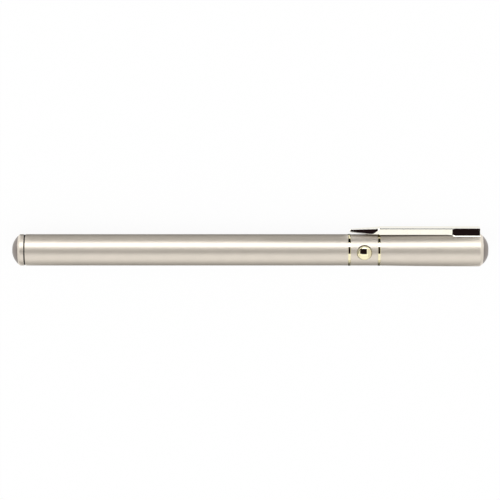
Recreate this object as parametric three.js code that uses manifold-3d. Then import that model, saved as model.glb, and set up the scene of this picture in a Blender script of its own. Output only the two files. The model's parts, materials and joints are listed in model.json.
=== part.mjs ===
// Laser pointer the size of a slim pen: a nickel tube with two thin cells, a gold push button between
// two gold rings, a gold pocket clip and a laser module behind the nose. Lengths are in millimetres.
//
// The pen is modelled along X, tail at X = 0 and beam towards +X, clip towards +Y and button towards +Z.
// At the end the whole pen is rolled onto its clip, as it lies on a table, with the table at Z = 0.

import * as THREE from "three";
import { mergeVertices } from "three/addons/utils/BufferGeometryUtils.js";
import Module from "manifold-3d";

const wasm = await Module();
wasm.setup();

// Outside of the pen, from the tail to the nose. The barrel's own length follows from what it holds.
const barrelWall = 0.5;
const tailRimLength = 0.8;
const tailDomeRise = 2.55;
const tailFlatRadius = 1.2;
const sealGapLength = 0.7;
const goldRingWidth = 0.8;
const goldRingCrown = 0.09;
const collarLength = 8.7;
const capLength = 31.6;
const capFlare = 0.26;
const noseDomeRise = 2.9;
const apertureRadius = 1.25;
const noseFlatWidth = 0.5;
const rimRound = 0.8;
const edgeBevel = 0.15;

// Gaps between pieces that are pressed, glued or run in each other
const seatGap = 0.05;
const runningGap = 0.1;
const cutOverrun = 1;

// Tail plug with its thread, and the ring that seals it
const threadPitch = 0.75;
const threadTurns = 7;
const threadDepth = 0.33;
const threadRunout = 0.4;
const plugWall = 0.95;
const plugFloorInset = 0.4;

// Cells and the springs at their ends
const cellRadius = 4.1;
const cellSideGap = 0.4;
const cellBodyLength = 41.5;
const cellBevel = 0.3;
const nubRadius = 1.6;
const nubLength = 0.8;
const cellEndGap = 0.6;
const springWireRadius = 0.25;
const tailSpringTurns = 6;
const tailSpringTopRadius = 1.1;
const frontSpringLength = 3;
const frontSpringTurns = 3;
const frontSpringInset = 0.8;

// Inner sleeve that joins the barrel, the rings, the collar and the cap
const sleeveWall = 0.45;
const sleeveOverlap = 5;

// Button and its retaining flange
const buttonRadius = 2.25;
const buttonHoleGap = 0.15;
const buttonProud = 0.9;
const buttonCrownRise = 0.45;
const buttonEdgeRound = 0.25;
const flangeLip = 0.55;
const flangeThickness = 0.4;
const bossRadius = 1.1;
const buttonTravel = 0.5;

// Switch under the button
const switchWidth = 4.4;
const switchBaseHeight = 1.6;
const switchPocketRadius = 1.5;
const switchCoverThickness = 0.2;
const plungerRadius = 0.9;
const plungerRootDepth = 0.5;
const domeSheet = 0.1;
const terminalLength = 0.7;
const terminalWidth = 0.7;
const terminalThickness = 0.2;

// Circuit board, its cradle and the contact in front of the cells
const boardThickness = 1;
const boardModuleGap = 3.6;
const contactInset = 0.6;
const contactThickness = 0.4;
const contactSetback = 9.5;
const cradleEndThickness = 1;
const cradleReach = 8.5;
const cradleChannelWidth = 4.2;
const cradleChannelDepth = 1.4;

// Small components on the board
const chipGap = 0.8;
const transistorSize = new THREE.Vector3(2.9, 1.3, 1);
const transistorLegLength = 0.5;
const transistorLegPitch = 0.95;
const transistorLegWidth = 0.4;
const transistorLegThickness = 0.15;
const resistorSize = new THREE.Vector3(1.25, 2, 0.5);
const capacitorSize = new THREE.Vector3(1.6, 3.2, 1.1);
const trimmerSize = new THREE.Vector3(2.4, 2.8, 0.9);
const trimmerRotorRadius = 0.95;
const trimmerRotorHeight = 0.35;
const trimmerSlotWidth = 0.35;

// Laser module
const moduleWall = 1.15;
const diodeSetback = 2;
const diodeFlangeRadius = 2.8;
const diodeFlangeThickness = 1.2;
const diodeCanRadius = 2.25;
const diodeCanLength = 2.4;
const diodeCanGap = 0.6;
const diodeWindowRadius = 0.8;
const diodePinRadius = 0.225;
const diodePinCircle = 1.27;
const diodePinLap = 1.4;
const diodeSparePinLength = 1.2;
const lensEdge = 0.9;
const lensBulge = 0.9;
const lensHolderLength = 4.6;
const lensHolderSetback = 1.2;
const lensHolderWall = 0.7;
const lensHolderLip = 0.6;
const lensSpringLength = 2.5;
const lensSpringWireRadius = 0.15;
const lensSpringTurns = 3;

// Nose insert
const noseSkirtLength = 4.2;
const noseSkirtWall = 0.9;
const noseFaceThickness = 1;

// Pocket clip
const clipRise = 1.99;
const clipHalfWidth = 2.05;
const clipSheet = 0.5;
const clipCheekGap = 0.4;
const clipEdge = 0.12;
const clipChineShare = 0.67;
const clipLength = 41.3;
const clipRootLength = 8.6;
const clipRootTopHalfWidth = 1.95;
const clipRootBaseHalfWidth = 2.45;
const clipFlexGap = 0.12;
const clipTipLength = 9.2;
const clipTipDroop = 0.51;
const clipContactGap = 0.12;
const clipTabLength = 1.6;
const clipTabWidth = 2.4;
const clipTabSetback = 1.5;
const clipTabReach = 0.6;
const clipTabGap = 0.2;

// The clip's tip as shares, along the tip: droop and half width of its top, depth of the leaning side's
// lower edge, half width at the side, depth of the side's foot, depth and half width of the sole
const tipShares = [
  [0, 1, 0.1, 0.49, 0.2, 0.53, 0.58, 0.12],
  [0.02, 0.97, 0.19, 0.52, 0.31, 0.57, 0.63, 0.22],
  [0.06, 0.92, 0.28, 0.55, 0.39, 0.61, 0.67, 0.3],
  [0.25, 0.68, 0.45, 0.62, 0.56, 0.68, 0.74, 0.45],
  [0.5, 0.36, 0.63, 0.65, 0.77, 0.71, 0.78, 0.64],
  [0.62, 0.23, 0.71, 0.7, 0.87, 0.76, 0.92, 0.66],
  [0.69, 0.16, 0.77, 0.73, 0.94, 0.79, 1, 0.62],
  [0.77, 0.1, 0.82, 0.732, 1, 0.79, 0.965, 0.7],
  [0.87, 0.03, 0.9, 0.41, 1, 0.72, 0.95, 0.82],
  [1, 0, 0.94, 0.056, 1, 0.651, 0.962, 0.94],
];

// How finely round shapes are cut into flat faces
const roundSegments = 36;
const smallSegments = 18;
const rimSteps = 3;
const domeSteps = 4;
const flareSteps = 5;
const crownSteps = 5;
const wireSides = 6;
const sealSides = 8;
const springStepsPerTurn = 10;
const threadStepsPerTurn = 12;

const finishes = {
  satinNickel: finish("#c9bfb2", 0.34, 1),
  darkNickel: finish("#9a9087", 0.3, 1),
  gold: finish("#e3c878", 0.12, 1),
  brass: finish("#b8923f", 0.4, 1),
  springSteel: finish("#a7a9ab", 0.3, 1),
  tin: finish("#c3c4c2", 0.35, 1),
  cellJacket: finish("#3f4a56", 0.45, 0.2),
  rubber: finish("#1d1c1b", 0.8, 0),
  blackPlastic: finish("#26262a", 0.6, 0),
  boardGreen: finish("#2c6a3c", 0.5, 0),
  chipBlack: finish("#1a1a1c", 0.55, 0),
  ceramic: finish("#a88a62", 0.5, 0),
  trimmerBlue: finish("#2f5fa0", 0.5, 0),
  glass: finish("#dfe8ea", 0.05, 0),
};

function finish(color, roughness, metalness) {
  return new THREE.MeshStandardMaterial({ color, roughness, metalness });
}

// A domed end of the pen: a ball face of the given rise, rounded into the side by rimRound. Distances
// are measured along the axis from the shoulder, where the rounding starts.
class DomedEnd {
  constructor(sideRadius, rise) {
    this.sideRadius = sideRadius;
    this.ballRadius = (sideRadius ** 2 + rise ** 2) / (2 * rise);
    const rimReach = this.ballRadius - rimRound;
    this.shoulderOffset = Math.sqrt(rimReach ** 2 - (sideRadius - rimRound) ** 2);
    this.rimAngle = Math.asin((sideRadius - rimRound) / rimReach);
  }

  distanceAt(radius) {
    return Math.sqrt(this.ballRadius ** 2 - radius ** 2) - this.shoulderOffset;
  }

  rimPoints() {
    return evenSteps(rimSteps).map((share) => {
      const angle = THREE.MathUtils.lerp(Math.PI / 2, this.rimAngle, share);
      return [rimRound * Math.cos(angle), this.sideRadius - rimRound + rimRound * Math.sin(angle)];
    });
  }

  facePoints(outerRadius, innerRadius) {
    const from = Math.asin(outerRadius / this.ballRadius);
    const to = Math.asin(innerRadius / this.ballRadius);
    return evenSteps(domeSteps).map((share) => {
      const radius = this.ballRadius * Math.sin(THREE.MathUtils.lerp(from, to, share));
      return [this.distanceAt(radius), radius];
    });
  }
}

// Radii from the cells outwards
const borePlain = cellRadius + cellSideGap;
const barrelRadius = borePlain + barrelWall;
const noseRadius = barrelRadius + capFlare;
const insertRadius = borePlain - seatGap;
const sleeveRadius = borePlain - seatGap;
const sleeveBore = sleeveRadius - sleeveWall;

// Tail cap, its seal and the plug's thread
const tailEnd = new DomedEnd(barrelRadius, tailDomeRise);
const tailShoulder = tailEnd.distanceAt(tailFlatRadius);
const tailCapLength = tailShoulder + tailRimLength;
const barrelStart = tailCapLength + sealGapLength;
const sealSection = sealGapLength / 2 - seatGap;
const threadRoot = insertRadius - 2 * sealSection;
const threadCrest = threadRoot + threadDepth;
const threadBore = threadCrest + runningGap;
const plugEnd = barrelStart + threadPitch * threadTurns + threadRunout;
const plugFloor = tailCapLength - plugFloorInset;
const springBore = threadRoot - plugWall;

// Cells, their front contact and the pieces around the button, one after the other
const rearCellStart = plugEnd + cellEndGap;
const frontCellStart = rearCellStart + cellBodyLength + nubLength;
const frontCellEnd = frontCellStart + cellBodyLength;
const contactStart = frontCellEnd + frontSpringLength;
const contactRadius = sleeveBore - contactInset;
const frontSpringRadius = contactRadius - frontSpringInset;
const cradleStart = contactStart + contactThickness;
const barrelEnd = cradleStart + contactSetback;
const collarStart = barrelEnd + goldRingWidth;
const collarEnd = collarStart + collarLength;
const capStart = collarEnd + goldRingWidth;
const capShoulder = capStart + capLength;
const sleeveStart = barrelEnd - sleeveOverlap;
const sleeveEnd = capStart + sleeveOverlap;
const buttonX = (collarStart + collarEnd) / 2;

// Nose and laser module
const noseEnd = new DomedEnd(noseRadius, noseDomeRise);
const noseFlatRadius = apertureRadius + noseFlatWidth;
const noseFace = capShoulder + noseEnd.distanceAt(noseFlatRadius);
const noseInsertStart = capShoulder - noseSkirtLength;
const moduleEnd = noseInsertStart - runningGap;
const moduleRearBoreRadius = diodeFlangeRadius + seatGap;
const moduleFrontBoreRadius = insertRadius - moduleWall;
const lensHolderEnd = moduleEnd - lensHolderSetback;
const lensHolderStart = lensHolderEnd - lensHolderLength;
const lensHolderRadius = moduleFrontBoreRadius - runningGap;
const lensSeatRadius = lensHolderRadius - lensHolderWall;
const lensRadius = lensSeatRadius - seatGap;
const lensSpringRadius = lensHolderRadius - lensHolderWall / 2;
const lensBoreStart = lensHolderStart - lensSpringLength;
const flangeFront = lensBoreStart - diodeCanGap - diodeCanLength;
const flangeRear = flangeFront - diodeFlangeThickness;
const moduleStart = flangeRear - diodeSetback;

// Board, whose top lies just under the diode's pins, and the levels above the pen's axis on the button
const boardTopLevel = -diodePinRadius - seatGap;
const boardBottomLevel = boardTopLevel - boardThickness;
const boardStart = cradleStart + cradleEndThickness + seatGap;
const boardEnd = moduleStart - boardModuleGap;
const boardWidth = 2 * Math.sqrt((sleeveBore - runningGap) ** 2 - boardBottomLevel ** 2);
const buttonHoleRadius = buttonRadius + buttonHoleGap;
const flangeRadius = buttonRadius + flangeLip;
const flangeTop = Math.sqrt(borePlain ** 2 - flangeRadius ** 2) - runningGap;
const flangeBottom = flangeTop - flangeThickness;
const switchBaseTop = boardTopLevel + switchBaseHeight;
const plungerFoot = switchBaseTop - plungerRootDepth;
const plungerTop = (switchBaseTop + switchCoverThickness + flangeBottom) / 2;
const pocketFloor = plungerFoot - buttonTravel - 2 * domeSheet;

// Clip
const clipTop = noseRadius + clipRise;
const clipStart = capShoulder - clipLength;
const clipRootStart = capShoulder - clipRootLength;
const clipArmEnd = clipRootStart - clipFlexGap;
const clipTabStart = capShoulder - clipTabSetback - clipTabLength;
const clipCheekBottom = Math.sqrt(noseRadius ** 2 - clipHalfWidth ** 2) + clipCheekGap;
const keelDepth = clipTop - barrelRadius - clipContactGap;

// A coil along the pen's axis, whose radius may change evenly from one end to the other.
class Coil extends THREE.Curve {
  constructor(start, end, startRadius, endRadius, turns) {
    super();
    Object.assign(this, { start, end, startRadius, endRadius, turns });
  }

  getPoint(share, target = new THREE.Vector3()) {
    const angle = 2 * Math.PI * this.turns * share;
    const radius = THREE.MathUtils.lerp(this.startRadius, this.endRadius, share);
    const along = THREE.MathUtils.lerp(this.start, this.end, share);
    return target.set(along, radius * Math.cos(angle), radius * Math.sin(angle));
  }
}

function evenSteps(count) {
  return Array.from({ length: count + 1 }, (_, index) => index / count);
}

function tailwards(points) {
  return points.map(([distance, radius]) => [tailShoulder - distance, radius]);
}

function nosewards(points) {
  return points.map(([distance, radius]) => [capShoulder + distance, radius]);
}

// Turns an outline of [place along X, radius] points about the pen's axis. An outline that leaves the
// axis is closed on itself.
function turned(outline, segments = roundSegments) {
  const points = outline.map(([along, radius]) => new THREE.Vector2(radius, along));
  if (THREE.ShapeUtils.isClockWise(points)) {
    points.reverse();
  }
  if (outline[0][1] > 0) {
    points.push(points[0].clone());
  }
  return new THREE.LatheGeometry(points, segments).rotateZ(-Math.PI / 2);
}

function tube(start, end, outerRadius, innerRadius) {
  return turned([[start, innerRadius], [start, outerRadius], [end, outerRadius], [end, innerRadius]]);
}

// Turns an outline of [level above the axis, radius] points about the button's own axis.
function turnedOnButton(outline, segments = roundSegments) {
  return turned(outline, segments).rotateY(-Math.PI / 2).translate(buttonX, 0, 0);
}

function coiled(path, wireRadius, stepsPerTurn) {
  const section = new THREE.Shape(
    Array.from({ length: wireSides }, (_, side) => {
      const angle = (2 * Math.PI * side) / wireSides;
      return new THREE.Vector2(wireRadius * Math.cos(angle), wireRadius * Math.sin(angle));
    }),
  );
  const steps = Math.round(path.turns * stepsPerTurn);
  return new THREE.ExtrudeGeometry(section, { steps, extrudePath: path, bevelEnabled: false });
}

// A block given by its lowest corner and its size.
function block(corner, size) {
  const centre = size.clone().multiplyScalar(1 / 2).add(corner);
  return new THREE.BoxGeometry(size.x, size.y, size.z).translate(centre.x, centre.y, centre.z);
}

// A block that stands on the board at the given middle.
function onBoard(along, across, size) {
  return block(
    new THREE.Vector3(along - size.x / 2, across - size.y / 2, boardTopLevel + seatGap / 2),
    size,
  );
}

// Joins equal rings of points, listed along X, into one closed skin.
function lofted(rings) {
  const positions = rings.flat(2);
  const count = rings[0].length;
  const triangles = [];
  for (let ring = 0; ring + 1 < rings.length; ring += 1) {
    for (let side = 0; side < count; side += 1) {
      const here = ring * count + side;
      const next = ring * count + ((side + 1) % count);
      triangles.push(here, next, here + count, next, next + count, here + count);
    }
  }
  const last = (rings.length - 1) * count;
  for (let side = 1; side + 1 < count; side += 1) {
    triangles.push(0, side + 1, side, last, last + side, last + side + 1);
  }
  const geometry = new THREE.BufferGeometry();
  geometry.setAttribute("position", new THREE.Float32BufferAttribute(positions, 3));
  geometry.setIndex(triangles);
  return geometry;
}

function solidOf(geometry) {
  const bare = geometry.clone();
  bare.deleteAttribute("normal");
  bare.deleteAttribute("uv");
  const merged = mergeVertices(bare);
  const vertProperties = new Float32Array(merged.attributes.position.array);
  const triVerts = new Uint32Array(merged.index.array);
  return new wasm.Manifold(new wasm.Mesh({ numProp: 3, vertProperties, triVerts }));
}

function geometryOf(solid) {
  const mesh = solid.getMesh();
  const geometry = new THREE.BufferGeometry();
  geometry.setAttribute("position", new THREE.BufferAttribute(mesh.vertProperties, 3));
  geometry.setIndex(new THREE.BufferAttribute(mesh.triVerts, 1));
  geometry.computeVertexNormals();
  return geometry;
}

function cut(geometry, ...tools) {
  return geometryOf(tools.reduce((solid, tool) => solid.subtract(solidOf(tool)), solidOf(geometry)));
}

function joined(geometry, ...others) {
  return geometryOf(others.reduce((solid, other) => solid.add(solidOf(other)), solidOf(geometry)));
}

const pen = new THREE.Group();

function addPiece(name, geometry, material) {
  const piece = new THREE.Mesh(geometry, material);
  piece.name = name;
  pen.add(piece);
}

// Tail cap: a rounded ring glued on the shank of the threaded plug, whose domed face closes the pen
function tailCapRing() {
  return turned([
    [tailCapLength, borePlain],
    [tailCapLength, barrelRadius - edgeBevel],
    [tailCapLength - edgeBevel, barrelRadius],
    ...tailwards(tailEnd.rimPoints()),
    [tailShoulder - tailEnd.distanceAt(borePlain), borePlain],
  ]);
}

function tailPlug() {
  const core = turned([
    [plugFloor, 0],
    [plugFloor, springBore],
    [plugEnd, springBore],
    [plugEnd, threadRoot - edgeBevel],
    [plugEnd - edgeBevel, threadRoot],
    [tailCapLength, threadRoot],
    [tailCapLength, insertRadius],
    ...tailwards(tailEnd.facePoints(insertRadius, tailFlatRadius)),
    [0, 0],
  ]);
  const ridgeStart = barrelStart + threadDepth + seatGap;
  const ridgeTurns = threadTurns - 1;
  const ridgeEnd = ridgeStart + ridgeTurns * threadPitch;
  const ridge = new Coil(ridgeStart, ridgeEnd, threadRoot, threadRoot, ridgeTurns);
  return joined(core, coiled(ridge, threadDepth, threadStepsPerTurn));
}

function sealRing() {
  const middle = tailCapLength + sealGapLength / 2;
  const centreRadius = threadRoot + seatGap + sealSection;
  const outline = Array.from({ length: sealSides }, (_, corner) => {
    const angle = (2 * Math.PI * corner) / sealSides;
    return [middle + sealSection * Math.cos(angle), centreRadius + sealSection * Math.sin(angle)];
  });
  return turned(outline);
}

function tailSpring() {
  const start = plugFloor + springWireRadius + seatGap;
  const end = rearCellStart - nubLength - springWireRadius - seatGap;
  const seatRadius = springBore - springWireRadius - runningGap;
  const path = new Coil(start, end, seatRadius, tailSpringTopRadius, tailSpringTurns);
  return coiled(path, springWireRadius, springStepsPerTurn);
}

// Barrel with the plug's threaded bore at its tail end
function barrelTube() {
  const threadEnd = plugEnd + seatGap;
  return turned([
    [barrelStart, threadBore],
    [barrelStart, barrelRadius - edgeBevel],
    [barrelStart + edgeBevel, barrelRadius],
    [barrelEnd, barrelRadius],
    [barrelEnd, borePlain],
    [threadEnd, borePlain],
    [threadEnd, threadBore],
  ]);
}

function cell(start) {
  const end = start + cellBodyLength;
  return turned([
    [start - nubLength, 0],
    [start - nubLength, nubRadius],
    [start, nubRadius],
    [start, cellRadius - cellBevel],
    [start + cellBevel, cellRadius],
    [end - cellBevel, cellRadius],
    [end, cellRadius - cellBevel],
    [end, 0],
  ]);
}

// Gold rings with a rounded crown, the collar between them and the sleeve that carries all three
function goldRing(start) {
  const crown = evenSteps(crownSteps).map((share) => {
    const angle = Math.PI * share;
    const along = start + (goldRingWidth / 2) * (1 - Math.cos(angle));
    return [along, barrelRadius + goldRingCrown * Math.sin(angle)];
  });
  return turned([[start, borePlain], ...crown, [start + goldRingWidth, borePlain]]);
}

function buttonBore(radius) {
  const top = noseRadius + cutOverrun;
  return turnedOnButton([[0, 0], [0, radius], [top, radius], [top, 0]]);
}

function switchCollar() {
  return cut(tube(collarStart, collarEnd, barrelRadius, borePlain), buttonBore(buttonHoleRadius));
}

function innerSleeve() {
  const windowRadius = flangeRadius + buttonHoleGap;
  return cut(tube(sleeveStart, sleeveEnd, sleeveRadius, sleeveBore), buttonBore(windowRadius));
}

// Cap, whose radius grows in a soft curve from the front gold ring to the nose
function capTube() {
  const flare = evenSteps(flareSteps).map((share) => {
    const radius = barrelRadius + capFlare * (1 - (1 - share) ** 2);
    return [THREE.MathUtils.lerp(capStart, capShoulder, share), radius];
  });
  const shell = turned([
    [capStart, borePlain],
    ...flare,
    ...nosewards(noseEnd.rimPoints()).slice(1),
    [capShoulder + noseEnd.distanceAt(borePlain), borePlain],
  ]);
  return cut(shell, tabSlot());
}

function noseDome() {
  const skirtBore = insertRadius - noseSkirtWall;
  const faceRear = noseFace - noseFaceThickness;
  const insert = turned([
    [noseInsertStart, skirtBore],
    [noseInsertStart, insertRadius],
    ...nosewards(noseEnd.facePoints(insertRadius, noseFlatRadius)),
    [noseFace, apertureRadius],
    [faceRear, apertureRadius],
    [faceRear - (skirtBore - apertureRadius), skirtBore],
  ]);
  return cut(insert, tabSlot());
}

// Hole for the clip's tab, through the cap and the nose insert
function tabSlot() {
  return block(
    new THREE.Vector3(clipTabStart - clipTabGap, 0, -clipTabWidth / 2 - clipTabGap),
    new THREE.Vector3(clipTabLength + 2 * clipTabGap, clipTop, clipTabWidth + 2 * clipTabGap),
  );
}

// The clip's root: a block with leaning sides that is seated on the cap and held by its tab
function clipRoot() {
  const section = [
    [0, -clipRootBaseHalfWidth],
    [clipTop - clipEdge, -clipRootTopHalfWidth - clipEdge],
    [clipTop, -clipRootTopHalfWidth],
    [clipTop, clipRootTopHalfWidth],
    [clipTop - clipEdge, clipRootTopHalfWidth + clipEdge],
    [0, clipRootBaseHalfWidth],
  ];
  const ends = [clipRootStart, capShoulder];
  const wedge = lofted(ends.map((along) => section.map(([height, across]) => [along, height, across])));
  const seat = tube(clipStart, noseFace, noseRadius + seatGap, 0);
  const tab = block(
    new THREE.Vector3(clipTabStart, insertRadius - clipTabReach, -clipTabWidth / 2),
    new THREE.Vector3(clipTabLength, clipTop - insertRadius, clipTabWidth),
  );
  return joined(cut(wedge, seat), tab);
}

// The clip's arm: a folded channel that ends in a solid spear-shaped tip with leaning sides, whose keel
// meets the collar. Each level of a ring is a height and a half width.
function clipArm() {
  const ring = (along, top, upper, chine, sole) => {
    const levels = [top, upper, chine, sole];
    return [
      [along, top[0], -top[1]],
      ...levels.map(([height, halfWidth]) => [along, height, halfWidth]),
      ...levels.slice(1).reverse().map(([height, halfWidth]) => [along, height, -halfWidth]),
    ];
  };
  const tip = tipShares.map(([along, droop, top, upperDepth, side, chineDepth, soleDepth, sole]) =>
    ring(
      clipStart + clipTipLength * along,
      [clipTop - clipTipDroop * droop, clipHalfWidth * top],
      [clipTop - keelDepth * upperDepth, clipHalfWidth * side],
      [clipTop - keelDepth * chineDepth, clipHalfWidth * side],
      [clipTop - keelDepth * soleDepth, clipHalfWidth * sole],
    ),
  );
  const upper = clipTop - clipEdge;
  const chine = THREE.MathUtils.lerp(upper, clipCheekBottom, clipChineShare);
  const edgeWidth = clipHalfWidth - clipEdge;
  const wide = [[upper, clipHalfWidth], [chine, clipHalfWidth]];
  const straight = [clipStart + clipTipLength + clipEdge, clipArmEnd].map((along) =>
    ring(along, [clipTop, edgeWidth], ...wide, [clipCheekBottom, edgeWidth]),
  );
  const channel = block(
    new THREE.Vector3(clipStart + clipTipLength, 0, clipSheet - clipHalfWidth),
    new THREE.Vector3(clipRootStart - clipStart, clipTop - clipSheet, 2 * (clipHalfWidth - clipSheet)),
  );
  return cut(lofted([...tip, ...straight]), channel);
}

// Button: a domed gold cap on a flange that the collar holds in, with a boss that meets the plunger
function buttonCap() {
  const top = barrelRadius + buttonProud;
  const crownRadius = buttonRadius - buttonEdgeRound;
  const shoulder = top - buttonCrownRise;
  const ball = (crownRadius ** 2 + buttonCrownRise ** 2) / (2 * buttonCrownRise);
  const crown = evenSteps(crownSteps).map((share) => {
    const radius = crownRadius * share;
    return [top - ball + Math.sqrt(ball ** 2 - radius ** 2), radius];
  });
  const outline = [
    ...crown,
    [shoulder - buttonEdgeRound, buttonRadius],
    [flangeTop, buttonRadius],
    [flangeTop, flangeRadius],
    [flangeBottom, flangeRadius],
    [flangeBottom, bossRadius],
    [plungerTop + seatGap, bossRadius],
    [plungerTop + seatGap, 0],
  ];
  return turnedOnButton(outline);
}

// Switch: base with a pocket, snap dome in the pocket, plunger, cover plate and four terminals
function switchBase() {
  const base = onBoard(buttonX, 0, new THREE.Vector3(switchWidth, switchWidth, switchBaseHeight - seatGap));
  const pocketTop = switchBaseTop + cutOverrun;
  const pocket = turnedOnButton(
    [[pocketFloor, 0], [pocketFloor, switchPocketRadius], [pocketTop, switchPocketRadius], [pocketTop, 0]],
    smallSegments,
  );
  return cut(base, pocket);
}

function switchCover() {
  const plate = block(
    new THREE.Vector3(buttonX - switchWidth / 2, -switchWidth / 2, switchBaseTop),
    new THREE.Vector3(switchWidth, switchWidth, switchCoverThickness),
  );
  return cut(plate, buttonBore(plungerRadius + runningGap));
}

function switchPlunger() {
  return turnedOnButton(
    [[plungerFoot, 0], [plungerFoot, plungerRadius], [plungerTop, plungerRadius], [plungerTop, 0]],
    smallSegments,
  );
}

function snapDome() {
  const floor = pocketFloor + seatGap;
  const top = plungerFoot - seatGap;
  const rim = switchPocketRadius - runningGap;
  const skin = (crest, radius) =>
    evenSteps(crownSteps).map((share) => {
      const fall = Math.cos((Math.PI / 2) * share);
      return [THREE.MathUtils.lerp(floor, crest, fall), radius * share];
    });
  const outline = [...skin(top, rim), ...skin(top - domeSheet, rim - domeSheet).reverse()];
  return turnedOnButton(outline, smallSegments);
}

function switchTerminal(lengthwise, crosswise) {
  const size = new THREE.Vector3(terminalWidth, terminalLength, terminalThickness);
  const along = buttonX + (lengthwise * (switchWidth - terminalWidth)) / 2;
  const across = crosswise * (switchWidth / 2 + terminalLength / 2 + seatGap);
  return onBoard(along, across, size);
}

// Board, the cradle that backs it against the button, and the contact for the cells
function circuitBoard() {
  return block(
    new THREE.Vector3(boardStart, -boardWidth / 2, boardBottomLevel),
    new THREE.Vector3(boardEnd - boardStart, boardWidth, boardThickness),
  );
}

function boardCradle() {
  const cradleEnd = buttonX + cradleReach;
  const cradleRadius = sleeveBore - seatGap;
  const rod = tube(cradleStart, cradleEnd, cradleRadius, 0);
  const troughStart = cradleStart + cradleEndThickness;
  const openTop = block(
    new THREE.Vector3(troughStart, -barrelRadius, boardBottomLevel - seatGap),
    new THREE.Vector3(cradleEnd, 2 * barrelRadius, 2 * barrelRadius),
  );
  const channel = block(
    new THREE.Vector3(troughStart, -cradleChannelWidth / 2, boardBottomLevel - cradleChannelDepth),
    new THREE.Vector3(cradleEnd, cradleChannelWidth, barrelRadius),
  );
  return cut(rod, openTop, channel);
}

function frontContact() {
  return tube(contactStart, cradleStart, contactRadius, 0);
}

function frontSpring() {
  const start = frontCellEnd + springWireRadius + seatGap;
  const end = contactStart - springWireRadius - seatGap;
  const path = new Coil(start, end, frontSpringRadius, frontSpringRadius, frontSpringTurns);
  return coiled(path, springWireRadius, springStepsPerTurn);
}

// Components on both sides of the switch
const transistorX = buttonX + switchWidth / 2 + chipGap + transistorSize.x / 2;
const capacitorX = buttonX - switchWidth / 2 - chipGap - capacitorSize.x / 2;
const resistorX = capacitorX - capacitorSize.x / 2 - chipGap - resistorSize.x / 2;
const trimmerX = resistorX - resistorSize.x / 2 - chipGap - trimmerSize.x / 2;

function transistor() {
  const legSize = new THREE.Vector3(transistorLegWidth, transistorLegLength * 2, transistorLegThickness);
  const legs = [[-1, -1], [1, -1], [0, 1]].map(([lengthwise, crosswise]) => {
    const along = transistorX + lengthwise * transistorLegPitch;
    return onBoard(along, (crosswise * transistorSize.y) / 2, legSize);
  });
  return joined(onBoard(transistorX, 0, transistorSize), ...legs);
}

function trimmer() {
  const body = onBoard(trimmerX, 0, trimmerSize);
  const level = boardTopLevel + trimmerSize.z;
  const top = level + trimmerRotorHeight;
  const rotor = turnedOnButton(
    [[level, 0], [level, trimmerRotorRadius], [top, trimmerRotorRadius], [top, 0]],
    smallSegments,
  ).translate(trimmerX - buttonX, 0, 0);
  const slot = block(
    new THREE.Vector3(trimmerX - trimmerRotorRadius, -trimmerSlotWidth / 2, top - trimmerRotorHeight / 2),
    new THREE.Vector3(2 * trimmerRotorRadius, trimmerSlotWidth, trimmerRotorHeight),
  );
  return cut(joined(body, rotor), slot);
}

// Laser module: brass housing, diode seated from behind, lens in a screwed holder on a spring
function moduleHousing() {
  const windowRadius = diodeCanRadius + runningGap;
  return turned([
    [moduleStart, moduleRearBoreRadius],
    [moduleStart, insertRadius],
    [moduleEnd, insertRadius],
    [moduleEnd, moduleFrontBoreRadius],
    [lensBoreStart, moduleFrontBoreRadius],
    [lensBoreStart, windowRadius],
    [flangeFront + seatGap, windowRadius],
    [flangeFront + seatGap, moduleRearBoreRadius],
  ]);
}

function laserDiode() {
  const canEnd = flangeFront + diodeCanLength;
  const can = turned([
    [flangeRear, 0],
    [flangeRear, diodeFlangeRadius],
    [flangeFront, diodeFlangeRadius],
    [flangeFront, diodeCanRadius],
    [canEnd, diodeCanRadius],
    [canEnd, diodeWindowRadius],
    [canEnd - domeSheet, diodeWindowRadius],
    [canEnd - domeSheet, 0],
  ]);
  const pin = (length, across, level) =>
    turned(
      [
        [flangeRear - length, 0],
        [flangeRear - length, diodePinRadius],
        [flangeFront, diodePinRadius],
        [flangeFront, 0],
      ],
      wireSides,
    ).translate(0, across, level);
  const pinLength = flangeRear - boardEnd + diodePinLap;
  return joined(
    can,
    pin(pinLength, diodePinCircle, 0),
    pin(pinLength, -diodePinCircle, 0),
    pin(diodeSparePinLength, 0, diodePinCircle),
  );
}

function lensSpring() {
  const start = lensBoreStart + lensSpringWireRadius + seatGap;
  const end = lensHolderStart - lensSpringWireRadius - seatGap;
  const path = new Coil(start, end, lensSpringRadius, lensSpringRadius, lensSpringTurns);
  return coiled(path, lensSpringWireRadius, springStepsPerTurn);
}

function lensHolder() {
  const lipStart = lensHolderEnd - lensHolderLip;
  return turned([
    [lensHolderStart, lensSeatRadius],
    [lensHolderStart, lensHolderRadius],
    [lensHolderEnd, lensHolderRadius],
    [lensHolderEnd, apertureRadius],
    [lipStart, lensRadius - lensHolderLip],
    [lipStart, lensSeatRadius],
  ]);
}

function collimatingLens() {
  const front = lensHolderEnd - lensHolderLip - seatGap;
  const flat = front - lensEdge;
  const bulge = evenSteps(crownSteps).map((share) => [
    flat - lensBulge * Math.sqrt(1 - share ** 2),
    lensRadius * share,
  ]);
  return turned([...bulge, [front, lensRadius], [front, 0]]);
}

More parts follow.
